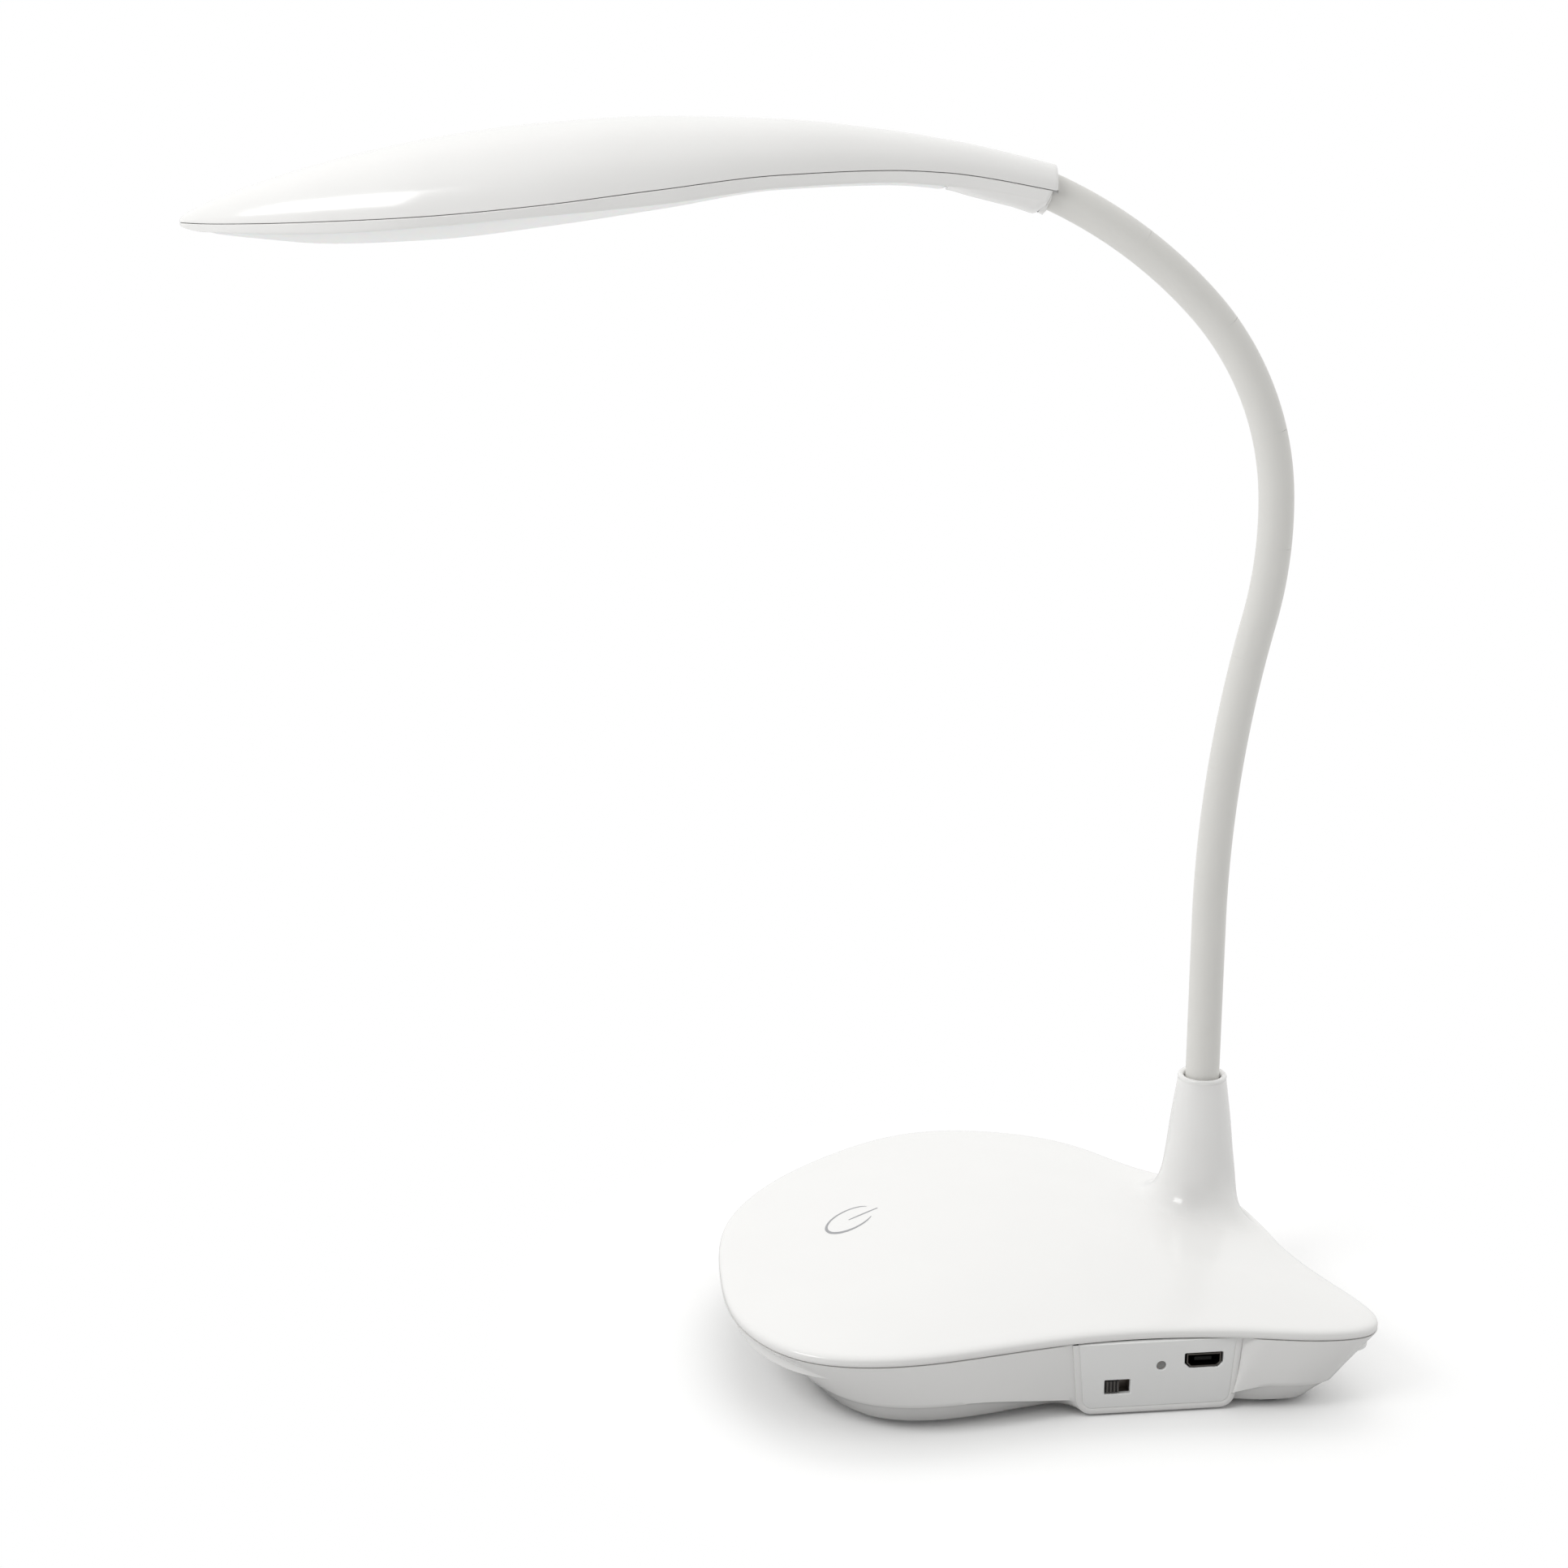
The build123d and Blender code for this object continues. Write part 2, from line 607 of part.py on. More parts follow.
with BuildPart() as switch_knob:
    with BuildSketch(panel.offset(-FIT_GAP)):
        with Locations(KNOB_SPOT):
            Rectangle(KNOB_WIDTH, KNOB_HEIGHT)
    extrude(amount=FIT_GAP + SLIDE_GAP - SWITCH_FRONT - SWITCH_DEPTH / 2)
    # Grip ribs.
    with BuildSketch(panel.offset(-FIT_GAP)):
        with Locations(KNOB_SPOT):
            with GridLocations(KNOB_WIDTH / KNOB_RIBS, 0, KNOB_RIBS - 1, 1):
                Rectangle(KNOB_WIDTH / KNOB_RIBS / 2, KNOB_HEIGHT)
    extrude(amount=-SLIDE_GAP, mode=Mode.SUBTRACT)
save(switch_knob, "switch_knob")

with BuildPart() as indicator_led:
    with BuildSketch(panel.offset(-PLATE_THICKNESS / 2)):
        with Locations(INDICATOR_SPOT):
            Circle(INDICATOR_DIAMETER / 2 - FIT_GAP)
    extrude(amount=PLATE_THICKNESS / 2 - BOARD_SETBACK)
    with BuildSketch(panel.offset(-BOARD_SETBACK)):
        with Locations((INDICATOR_ALONG, BOARD_TOP - SEAM_HEIGHT)):
            Rectangle(INDICATOR_DIAMETER, INDICATOR_BODY, align=(Align.CENTER, Align.MIN))
    extrude(amount=-INDICATOR_DIAMETER)
save(indicator_led, "indicator_led")

# ================= neck =================
ROOT = NUT_SEAT - NUT_HEIGHT - COLLAR_HEIGHT
FERRULE_TOP = COLLAR_HEIGHT - NECK_DIAMETER
with BuildPart() as root_ferrule:
    with BuildSketch(Plane.XY.offset(COLLAR_HEIGHT + ROOT)):
        with Locations((NECK_X, NECK_Y)):
            Circle(BORE_R)
            Circle(NECK_R, mode=Mode.SUBTRACT)
    extrude(amount=FERRULE_TOP - COLLAR_HEIGHT - ROOT)
save(root_ferrule, "root_ferrule")

with BuildPart() as root_nut:
    with BuildSketch(Plane.XY.offset(NUT_SEAT - SNUG_GAP)):
        with Locations((NECK_X, NECK_Y)):
            Circle(NUT_DIAMETER / 2)
            Circle(BORE_R, mode=Mode.SUBTRACT)
            with PolarLocations(NUT_DIAMETER / 2, 4):
                Rectangle(NUT_SLOT / 2, NUT_SLOT, mode=Mode.SUBTRACT)
    extrude(amount=-NUT_HEIGHT)
save(root_nut, "root_nut")

BELOW = (Align.CENTER, Align.CENTER, Align.MAX)
STOPS = [ROOT, *JOINTS, NECK_LENGTH + NECK_TAIL]
for number, (start, end) in enumerate(zip(STOPS, STOPS[1:])):
    first = number == 0
    last = number == JOINT_COUNT
    with BuildPart() as neck_sleeve:
        add(neck_sweep(start, end, NECK_R, CORE_R))
        if not first:
            # Ball round the joint below, open along the core.
            with Locations(neck_plane(start)):
                Sphere(NECK_R, arc_size1=-90, arc_size2=0, align=BELOW)
                Cylinder(CORE_R, NECK_DIAMETER, align=BELOW, mode=Mode.SUBTRACT)
        if not last:
            with Locations(neck_plane(end)):
                Sphere(NECK_R + CUP_GAP, mode=Mode.SUBTRACT)
    save(neck_sleeve, f"neck_sleeve_{number}")
    with BuildPart() as neck_core:
        add(neck_sweep(start, end, CORE_R - SNUG_GAP))
        if not last:
            with Locations(neck_plane(end)):
                Sphere(NECK_R + 3 * CUP_GAP, mode=Mode.SUBTRACT)
    save(neck_core, f"neck_core_{number}")

# ================= head =================
HALF = HEAD_WIDTH / 2


def station(row):
    """Distance from the collar, half width and the four heights of one head section in millimetres."""
    along, wide, top, seam, lens, under = row
    heights = [HEAD_Z + share * HEAD_RISE for share in (top, seam, lens, under)]
    return (HEAD_X - along * HEAD_LENGTH, wide * HALF, *heights)


def section_plane(x, z=0.0):
    """Plane across the head, its x towards +Y and its y up."""
    return Plane(origin=(x, NECK_Y, z), x_dir=(0, 1, 0), z_dir=(1, 0, 0))


def arch(x, seam, half, rise):
    """Half ellipse standing on the seam."""
    with BuildSketch(section_plane(x, seam)) as face:
        with BuildLine():
            EllipticalCenterArc((0, 0), half, rise, start_angle=0, arc_size=180)
            Line((-half, 0), (half, 0))
        make_face()
    return face.sketch.face()


def trough(x, top, half, floor_half, low, under):
    """Section under the seam: sloping sides to the lens line and a belly below it."""
    with BuildSketch(section_plane(x)) as face:
        with BuildLine():
            Line((half, top), (-half, top))
            Line((-half, top), (-floor_half, low))
            if low - under > 0.05:
                ThreePointArc((-floor_half, low), (0, under), (floor_half, low))
            else:
                Line((-floor_half, low), (floor_half, low))
            Line((floor_half, low), (half, top))
        make_face()
    return face.sketch.face()


head_rows = [station(row) for row in STATIONS]
lens_rows = head_rows[1:LENS_STATIONS]
neck_rows = head_rows[LENS_STATIONS - 1 :]
TAIL_END = NECK_LENGTH + NECK_TAIL

left_row = lens_rows[LED_BOARD_ROWS[0]]
right_row = lens_rows[LED_BOARD_ROWS[1]]
LED_TILT = math.atan2(right_row[4] - left_row[4], right_row[0] - left_row[0])
LED_MIDDLE = (left_row[0] + right_row[0]) / 2
LED_LEVEL = (left_row[4] + right_row[4]) / 2 + LENS_THICKNESS + LED_CLEARANCE
led_plane = Plane(
    origin=(LED_MIDDLE, NECK_Y, LED_LEVEL),
    x_dir=(math.cos(LED_TILT), 0, math.sin(LED_TILT)),
    z_dir=(-math.sin(LED_TILT), 0, math.cos(LED_TILT)),
)
LED_SCREW_SPOTS = [(side * LED_SCREW_REACH, 0) for side in (-1, 0, 1)]


def roof_above_board(along):
    """Length from the top of the light board to the middle of the shell over it."""
    x = led_plane.origin.X + along * math.cos(LED_TILT)
    board = led_plane.origin.Z + along * math.sin(LED_TILT) + LED_BOARD_THICKNESS
    for (x0, _, top0, *_), (x1, _, top1, *_) in zip(head_rows, head_rows[1:]):
        if x0 <= x <= x1:
            return top0 + (top1 - top0) * (x - x0) / (x1 - x0) - HEAD_WALL / 2 - board
    return 0.0


FERRULE_START = NECK_LENGTH + FERRULE_SETBACK
with BuildPart() as head_top_shell:
    sections = []
    for x, half, top, seam, _, _ in head_rows:
        sections.append(arch(x, seam, half, top - seam))
    loft(sections, ruled=True)
    sections = []
    for x, half, top, seam, _, _ in head_rows[2:]:
        sections.append(arch(x, seam, half - HEAD_WALL, top - seam - HEAD_WALL))
    loft(sections, ruled=True, mode=Mode.SUBTRACT)
    # Posts the light board hangs from.
    for along, across in LED_SCREW_SPOTS:
        with BuildSketch(led_plane.offset(LED_BOARD_THICKNESS)):
            with Locations((along, across)):
                Circle(LED_POST_DIAMETER / 2)
        extrude(amount=roof_above_board(along))
    with BuildSketch(led_plane.offset(LED_BOARD_THICKNESS)):
        with Locations(*LED_SCREW_SPOTS):
            Circle(LED_SCREW_DIAMETER / 2)
    extrude(amount=LED_SCREW_LENGTH, mode=Mode.SUBTRACT)
    add(neck_sweep(JOINTS[-1], TAIL_END, NECK_R + SLIDE_GAP / 2), mode=Mode.SUBTRACT)
    add(neck_sweep(FERRULE_START - SLIDE_GAP, TAIL_END, FERRULE_R + SLIDE_GAP / 2), mode=Mode.SUBTRACT)
save(head_top_shell, "head_top_shell")

with BuildPart() as head_lower_shell:
    # Frame round the lens, then the closed end towards the collar.
    sections = []
    for x, half, _, seam, lens, _ in head_rows[:LENS_STATIONS]:
        sections.append(trough(x, seam - HEAD_SEAM, half, LEAN * half, lens, lens))
    loft(sections, ruled=True)
    sections = []
    for x, half, _, seam, lens, under in neck_rows:
        sections.append(trough(x, seam - HEAD_SEAM, half, LEAN * half, lens, under))
    loft(sections, ruled=True)
    sections = []
    for x, half, _, seam, lens, _ in lens_rows:
        opening = LEAN * half - LENS_LEDGE
        sections.append(trough(x, seam + HEAD_WALL, opening, opening, lens - HEAD_WALL, lens - HEAD_WALL))
    loft(sections, ruled=True, mode=Mode.SUBTRACT)
    sections = []
    for x, half, _, seam, lens, under in neck_rows:
        inner = LEAN * half - HEAD_WALL
        low = lens + HEAD_WALL / 2
        sections.append(trough(x, seam + HEAD_WALL, half - HEAD_WALL, inner, low, under + HEAD_WALL))
    loft(sections, ruled=True, mode=Mode.SUBTRACT)
    add(neck_sweep(JOINTS[-1], TAIL_END, NECK_R + SLIDE_GAP / 2), mode=Mode.SUBTRACT)
    add(neck_sweep(FERRULE_START - SLIDE_GAP, TAIL_END, FERRULE_R + SLIDE_GAP / 2), mode=Mode.SUBTRACT)
save(head_lower_shell, "head_lower_shell")

with BuildPart() as diffuser_lens:
    sections = []
    for x, half, _, _, lens, under in lens_rows:
        rim = LEAN * half - LENS_LEDGE - LENS_GAP
        sections.append(trough(x, lens + LENS_THICKNESS, rim, rim, lens, under))
    loft(sections, ruled=True)
save(diffuser_lens, "diffuser_lens")

with BuildPart() as head_ferrule:
    add(neck_sweep(FERRULE_START, TAIL_END, FERRULE_R))
    add(neck_sweep(JOINTS[-1], TAIL_END, NECK_R), mode=Mode.SUBTRACT)
save(head_ferrule, "head_ferrule")

with BuildPart() as led_board:
    with BuildSketch(led_plane):
        RectangleRounded(LED_BOARD_LENGTH, LED_BOARD_WIDTH, LED_BOARD_WIDTH / 4)
        with Locations(*LED_SCREW_SPOTS):
            Circle(LED_SCREW_DIAMETER / 2, mode=Mode.SUBTRACT)
    extrude(amount=LED_BOARD_THICKNESS)
save(led_board, "led_board")

with BuildPart() as led_screws:
    with BuildSketch(led_plane):
        with Locations(*LED_SCREW_SPOTS):
            Circle(LED_SCREW_DIAMETER)
    extrude(amount=-LED_SCREW_DIAMETER / 2)
    with BuildSketch(led_plane):
        with Locations(*LED_SCREW_SPOTS):
            Circle(LED_SCREW_DIAMETER / 2)
    extrude(amount=LED_BOARD_THICKNESS + LED_SCREW_LENGTH - LED_SCREW_DIAMETER / 2)
save(led_screws, "led_screws")

with BuildPart() as leds:
    with BuildSketch(led_plane):
        with GridLocations(LED_PITCH, LED_ROW_PITCH, LED_COUNT, 2):
            Rectangle(LED_SIZE, LED_SIZE)
    extrude(amount=-LED_HEIGHT)
save(leds, "leds")
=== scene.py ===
import json
import logging
import math
from dataclasses import dataclass
from enum import Enum

import bmesh
import bpy
import numpy as np
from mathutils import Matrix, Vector

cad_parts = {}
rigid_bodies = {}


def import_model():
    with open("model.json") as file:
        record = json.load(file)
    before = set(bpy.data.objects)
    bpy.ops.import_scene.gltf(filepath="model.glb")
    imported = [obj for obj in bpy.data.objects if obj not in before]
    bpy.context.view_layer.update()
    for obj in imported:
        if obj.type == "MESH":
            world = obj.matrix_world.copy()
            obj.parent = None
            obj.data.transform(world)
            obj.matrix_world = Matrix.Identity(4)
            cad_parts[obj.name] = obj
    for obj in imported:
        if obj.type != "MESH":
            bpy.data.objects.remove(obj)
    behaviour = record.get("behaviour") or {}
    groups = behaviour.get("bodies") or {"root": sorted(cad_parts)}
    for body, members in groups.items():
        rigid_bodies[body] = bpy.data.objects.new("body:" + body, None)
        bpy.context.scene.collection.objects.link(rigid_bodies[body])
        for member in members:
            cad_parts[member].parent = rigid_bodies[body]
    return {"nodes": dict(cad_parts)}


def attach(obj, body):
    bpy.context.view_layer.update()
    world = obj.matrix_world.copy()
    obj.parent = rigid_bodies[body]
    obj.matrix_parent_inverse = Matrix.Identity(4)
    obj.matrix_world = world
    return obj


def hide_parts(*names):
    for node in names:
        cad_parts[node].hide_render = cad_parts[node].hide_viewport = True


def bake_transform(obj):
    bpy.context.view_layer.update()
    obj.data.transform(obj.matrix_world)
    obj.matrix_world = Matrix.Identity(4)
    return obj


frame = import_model()

MM = 0.001
LOG = logging.getLogger("lamp")
Row = list[int]
Points = np.ndarray


# ---------------------------------------------------------------- curves and meshes
def loop_spline(points: Points, marks: Points, at: Points) -> Points:
    """Smooth closed curve through points.

    Args:
        points: the points, one a row, not repeated at the end.
        marks: the parameter of each point, and the parameter of the closing point.
        at: parameters to read the curve at.

    Returns:
        One point of the curve for each parameter.
    """
    count = len(points)
    step = np.diff(marks)
    system = np.zeros((count, count))
    right = np.zeros((count, points.shape[1]))
    for i in range(count):
        before, after = step[i - 1], step[i]
        system[i, i - 1] += before
        system[i, i] += 2 * (before + after)
        system[i, (i + 1) % count] += after
        rise = (points[(i + 1) % count] - points[i]) / after
        right[i] = 6 * (rise - (points[i] - points[i - 1]) / before)
    bend = np.linalg.solve(system, right)
    at = np.mod(np.asarray(at, float) - marks[0], marks[-1] - marks[0]) + marks[0]
    i = np.clip(np.searchsorted(marks, at, side="right") - 1, 0, count - 1)
    j = (i + 1) % count
    h = step[i][:, None]
    low, high = (marks[i + 1] - at)[:, None], (at - marks[i])[:, None]
    curve = (bend[i] * low**3 + bend[j] * high**3) / (6 * h)
    return curve + (points[i] / h - bend[i] * h / 6) * low + (points[j] / h - bend[j] * h / 6) * high


def smooth_run(xs: Points, ys: Points, at: Points) -> Points:
    """Smooth curve through values that never swings past them.

    Args:
        xs: increasing positions.
        ys: the value at each position.
        at: positions to read the curve at.

    Returns:
        One value for each position asked for.
    """
    xs, ys, at = (np.asarray(v, float) for v in (xs, ys, at))
    h, d = np.diff(xs), np.diff(ys) / np.diff(xs)
    slope = np.empty_like(xs)
    slope[0], slope[-1] = d[0], d[-1]
    for i in range(1, len(xs) - 1):
        slope[i] = 0.0
        if d[i - 1] * d[i] > 0:
            a, b = 2 * h[i] + h[i - 1], h[i] + 2 * h[i - 1]
            slope[i] = (a + b) / (a / d[i - 1] + b / d[i])
    i = np.clip(np.searchsorted(xs, at, side="right") - 1, 0, len(h) - 1)
    t = np.clip((at - xs[i]) / h[i], 0, 1)
    return (
        ys[i] * (1 + 2 * t) * (1 - t) ** 2
        + slope[i] * h[i] * t * (1 - t) ** 2
        + ys[i + 1] * t * t * (3 - 2 * t)
        + slope[i + 1] * h[i] * t * t * (t - 1)
    )


class Patch:
    """Rows of points in millimetres, and the faces drawn between them."""

    def __init__(self) -> None:
        self.points: list[tuple[float, float, float]] = []
        self.faces: list[tuple[int, ...]] = []

    def row(self, points: Points) -> Row:
        """Adds a row of points and returns their numbers."""
        start = len(self.points)
        self.points.extend(tuple(float(c) for c in p) for p in points)
        return list(range(start, len(self.points)))

    def band(self, one: Row, two: Row, closed: bool = False) -> None:
        """Joins two rows of equal length with four-sided faces."""
        last = len(one) if closed else len(one) - 1
        for i in range(last):
            j = (i + 1) % len(one)
            self.faces.append((one[i], one[j], two[j], two[i]))

    def sheet(self, rows: list[Row], closed: bool = False) -> None:
        """Joins each row with the next."""
        for one, two in zip(rows, rows[1:]):
            self.band(one, two, closed)

    def cap(self, row: Row) -> None:
        """Closes a row with one face."""
        self.faces.append(tuple(row))

    def build(self, name: str, outside: tuple[float, float, float], crease: float = 32.0) -> bpy.types.Object:
        """Makes the mesh object.

        Args:
            name: the piece's name.
            outside: a far point in millimetres that the nearest face has to look at.
            crease: edges sharper than this many degrees stay sharp.

        Returns:
            The object, at the origin, in metres.
        """
        mesh = bpy.data.meshes.new(name)
        mesh.from_pydata([tuple(c * MM for c in p) for p in self.points], [], self.faces)
        bm = bmesh.new()
        bm.from_mesh(mesh)
        bmesh.ops.remove_doubles(bm, verts=bm.verts, dist=2e-6)
        bmesh.ops.recalc_face_normals(bm, faces=bm.faces)
        eye = Vector(outside) * MM
        nearest = min(bm.faces, key=lambda f: (f.calc_center_median() - eye).length)
        if nearest.normal.dot(eye - nearest.calc_center_median()) < 0:
            bmesh.ops.reverse_faces(bm, faces=bm.faces)
        bm.to_mesh(mesh)
        bm.free()
        return finish_mesh(mesh, name, crease)


def put(name: str, data: bpy.types.ID) -> bpy.types.Object:
    """Puts a new object in the scene."""
    obj = bpy.data.objects.new(name, data)
    bpy.context.scene.collection.objects.link(obj)
    return obj


def finish_mesh(mesh: bpy.types.Mesh, name: str, crease: float = 32.0) -> bpy.types.Object:
    """Shades a mesh smooth except at its creases and puts it in the scene."""
    mesh.polygons.foreach_set("use_smooth", [True] * len(mesh.polygons))
    mesh.set_sharp_from_angle(angle=math.radians(crease))
    return put(name, mesh)


def bezier(t: float) -> tuple[float, float, float, float]:
    """Weights of the four points of a cubic curve."""
    return (1 - t) ** 3, 3 * t * (1 - t) ** 2, 3 * t * t * (1 - t), t**3


def ease(run: Points) -> Points:
    """Soft step from 0 to 1."""
    return run * run * (3 - 2 * run)


def plain_copy(maker: bpy.types.Object, name: str, crease: float = 32.0) -> bpy.types.Object:
    """Turns an object with a live node tree into a plain mesh object and removes the maker."""
    graph = bpy.context.evaluated_depsgraph_get()
    mesh = bpy.data.meshes.new_from_object(maker.evaluated_get(graph))
    mesh.name = name
    bpy.data.objects.remove(maker)
    return finish_mesh(mesh, name, crease)


def holed_plate(
    outer: Points, holes: list[Points], bevelled: list[Points], thick: float, bevel: float
) -> Patch:
    """Flat plate with openings, in its own plane: x right, y up, z towards the viewer.

    Args:
        outer: the outline.
        holes: the outline of each opening.
        bevelled: the same loops, outline first, drawn back by the bevel.
        thick: thickness.
        bevel: size of the bevel of every front edge.

    Returns:
        A patch with the front face at z = 0.
    """
    patch = Patch()
    bm = bmesh.new()
    for loop, inner in zip([outer, *holes], bevelled):
        lifted = [np.column_stack([ring, np.full(len(ring), level)])
                  for ring, level in ((inner, 0.0), (loop, -bevel), (loop, -thick))]
        rows = [patch.row(ring) for ring in lifted]
        patch.sheet(rows, closed=True)
        verts = [bm.verts.new(p) for p in lifted[0]]
        for a, b in zip(verts, (*verts[1:], verts[0])):
            bm.edges.new((a, b))
    bmesh.ops.triangle_fill(bm, edges=bm.edges, use_beauty=True, normal=(0, 0, 1))
    for face in bm.faces:
        patch.cap(patch.row(np.array([v.co[:] for v in face.verts])))
    bm.free()
    return patch


# ---------------------------------------------------------------- materials
@dataclass(frozen=True)
class Look:
    """Numbers of one procedural finish. Scales are per metre, grain depth is in metres."""

    colour: tuple[float, float, float]
    roughness: float
    metallic: float = 0.0
    mottle: float = 0.03
    mottle_scale: float = 60.0
    rough_spread: float = 0.05
    grain_scale: float = 2600.0
    grain: float = 0.00001
    coat: float = 0.0
    specular: float = 0.5
    subsurface: float = 0.0
    brushed: float = 1.0


class Finish(Enum):
    """The finishes of the lamp."""

    SHELL = Look((0.86, 0.855, 0.845), 0.20, mottle=0.012, grain_scale=900.0, grain=0.000004, coat=0.35)
    PANEL = Look((0.885, 0.886, 0.878), 0.38, mottle=0.015, grain_scale=5200.0, grain=0.00001)
    SLEEVE = Look((0.75, 0.742, 0.715), 0.42, mottle=0.02, grain_scale=3800.0, grain=0.000012)
    DIFFUSER = Look(
        (0.90, 0.905, 0.90), 0.30, mottle=0.01, grain_scale=6000.0, grain=0.000008, subsurface=0.25
    )
    MARK = Look((0.33, 0.335, 0.35), 0.35, mottle=0.05, grain_scale=3000.0, grain=0.000004)
    RUBBER = Look((0.045, 0.045, 0.047), 0.75, mottle=0.12, grain_scale=3200.0, grain=0.00005, specular=0.3)
    BLACK = Look((0.018, 0.016, 0.015), 0.42, mottle=0.2, grain_scale=5200.0, grain=0.00002)
    # Tongue of the charging port: dark plastic, darkened further to near black with painted shade of the
    # port's recess.
    SOCKET = Look((0.006, 0.006, 0.006), 0.5, mottle=0.3, grain_scale=5200.0, grain=0.00001, specular=0.2)
    # Knob ribs: the knob's black lightened, a painted highlight where the ribs catch the light.
    RIB_PAINTED_HIGHLIGHT = Look((0.085, 0.078, 0.072), 0.28, mottle=0.15, grain_scale=5200.0, grain=0.00001)
    SWITCH = Look((0.17, 0.145, 0.125), 0.35, 0.5, mottle=0.15, grain_scale=3200.0, grain=0.00001)
    # Light pipe: grey translucent, darker still with painted shade of the recess it sits back in.
    LIGHT_PIPE_PAINTED_SHADE = Look(
        (0.30, 0.29, 0.28), 0.28, mottle=0.08, grain_scale=2500.0, grain=0.00001, subsurface=0.2
    )
    # Metal shell of the charging port: darkened far below bright steel, painted shade of the port's recess.
    PORT_PAINTED_SHADE = Look((0.12, 0.11, 0.10), 0.32, 1.0, mottle=0.08, brushed=6.0)
    STEEL = Look((0.60, 0.60, 0.61), 0.30, 1.0, mottle=0.05, brushed=7.0)
    BRASS = Look((0.78, 0.60, 0.32), 0.28, 1.0, mottle=0.06, brushed=5.0)
    COPPER = Look((0.80, 0.44, 0.28), 0.32, 1.0, mottle=0.06, brushed=5.0)
    FOIL = Look(
        (0.56, 0.58, 0.61), 0.34, 0.8, mottle=0.08, mottle_scale=180.0, grain_scale=700.0, grain=0.00012
    )
    BOARD = Look(
        (0.020, 0.16, 0.070), 0.30, mottle=0.2, mottle_scale=420.0, grain_scale=2200.0, grain=0.00002
    )
    WHITE_BOARD = Look((0.80, 0.81, 0.80), 0.40, mottle=0.03, grain_scale=2200.0, grain=0.00001)
    PHOSPHOR = Look(
        (0.86, 0.72, 0.22), 0.35, mottle=0.06, mottle_scale=500.0, grain_scale=4000.0, grain=0.00001
    )


class Shading:
    """Shader nodes of a material or a world."""

    def __init__(self, owner: bpy.types.ID) -> None:
        owner.use_nodes = True
        self.tree = owner.node_tree
        self.tree.nodes.clear()

    def node(
        self, kind: str, values: dict[str | int, object] | None = None, **settings: str
    ) -> bpy.types.Node:
        """Adds a node.

        Args:
            kind: its type, without the common first word.
            values: the value of each input that is set.
            settings: its own settings.

        Returns:
            The node.
        """
        made = self.tree.nodes.new("ShaderNode" + kind)
        for key, value in settings.items():
            setattr(made, key, value)
        for key, value in (values or {}).items():
            made.inputs[key].default_value = value
        return made

    def link(self, *pairs: tuple[bpy.types.NodeSocket, bpy.types.NodeSocket]) -> None:
        """Joins each output with its input."""
        for output, target in pairs:
            self.tree.links.new(output, target)


class Paint:
    """Makes each finish's material once and lays it on pieces."""

    def __init__(self) -> None:
        self.made: dict[Finish, bpy.types.Material] = {}

    def material(self, finish: Finish) -> bpy.types.Material:
        """Builds the node material of a finish.

        Args:
            finish: which finish.

        Returns:
            Its material, shared by every piece that has it.
        """
        if finish in self.made:
            return self.made[finish]
        look: Look = finish.value
        made = bpy.data.materials.new(finish.name.lower())
        tree = Shading(made)
        pale = tuple(min(1.0, c * (1 + look.mottle)) for c in look.colour)
        deep = tuple(c * (1 - look.mottle) for c in look.colour)
        out = tree.node("OutputMaterial")
        shader = tree.node("BsdfPrincipled", {
            "Metallic": look.metallic, "Specular IOR Level": look.specular, "Coat Weight": look.coat,
            "Coat Roughness": 0.08, "Subsurface Weight": look.subsurface, "Subsurface Scale": 0.002,
        })
        where = tree.node("TexCoord")
        stretch = tree.node("Mapping", {"Scale": (1.0, look.brushed, 1.0)})
        cloud = tree.node("TexNoise", {"Scale": look.mottle_scale, "Detail": 4.0})
        grain = tree.node("TexNoise", {"Scale": look.grain_scale, "Detail": 2.0})
        tint = tree.node("Mix", {6: (*deep, 1.0), 7: (*pale, 1.0)}, data_type="RGBA")
        spread = look.rough_spread / 2
        gloss = tree.node("MapRange", {"To Min": look.roughness - spread, "To Max": look.roughness + spread})
        bump = tree.node("Bump", {"Strength": 0.5, "Distance": look.grain})
        tree.link(
            (where.outputs["Object"], stretch.inputs["Vector"]),
            (stretch.outputs["Vector"], cloud.inputs["Vector"]),
            (stretch.outputs["Vector"], grain.inputs["Vector"]),
            (cloud.outputs["Fac"], tint.inputs[0]),
            (tint.outputs[2], shader.inputs["Base Color"]),
            (grain.outputs["Fac"], gloss.inputs["Value"]),
            (gloss.outputs["Result"], shader.inputs["Roughness"]),
            (grain.outputs["Fac"], bump.inputs["Height"]),
            (bump.outputs["Normal"], shader.inputs["Normal"]),
            (shader.outputs["BSDF"], out.inputs["Surface"]),
        )
        self.made[finish] = made
        return made

    def coat(self, obj: bpy.types.Object, finish: Finish) -> None:
        """Gives a piece one finish all over."""
        obj.data.materials.clear()
        obj.data.materials.append(self.material(finish))


# ---------------------------------------------------------------- base
RIM_SHARES = (
    (0.465, -0.395), (0.503, -0.376), (0.517, -0.342), (0.511, -0.298), (0.475, -0.206), (0.423, -0.061),
    (0.392, 0.077), (0.336, 0.214), (0.230, 0.308), (0.131, 0.422), (-0.007, 0.494), (-0.155, 0.489),
    (-0.293, 0.386), (-0.412, 0.222), (-0.475, 0.040), (-0.478, -0.161), (-0.442, -0.355), (-0.353, -0.473),
    (-0.226, -0.497), (-0.085, -0.461), (0.057, -0.414), (0.191, -0.391), (0.325, -0.392),
)
FLARE_REACH = (1.6, 1.6, 2.4, 5.2, 6.4, 5.6, 4.8, 4.5, 4.5, 5.2, 10.5, 5.2)


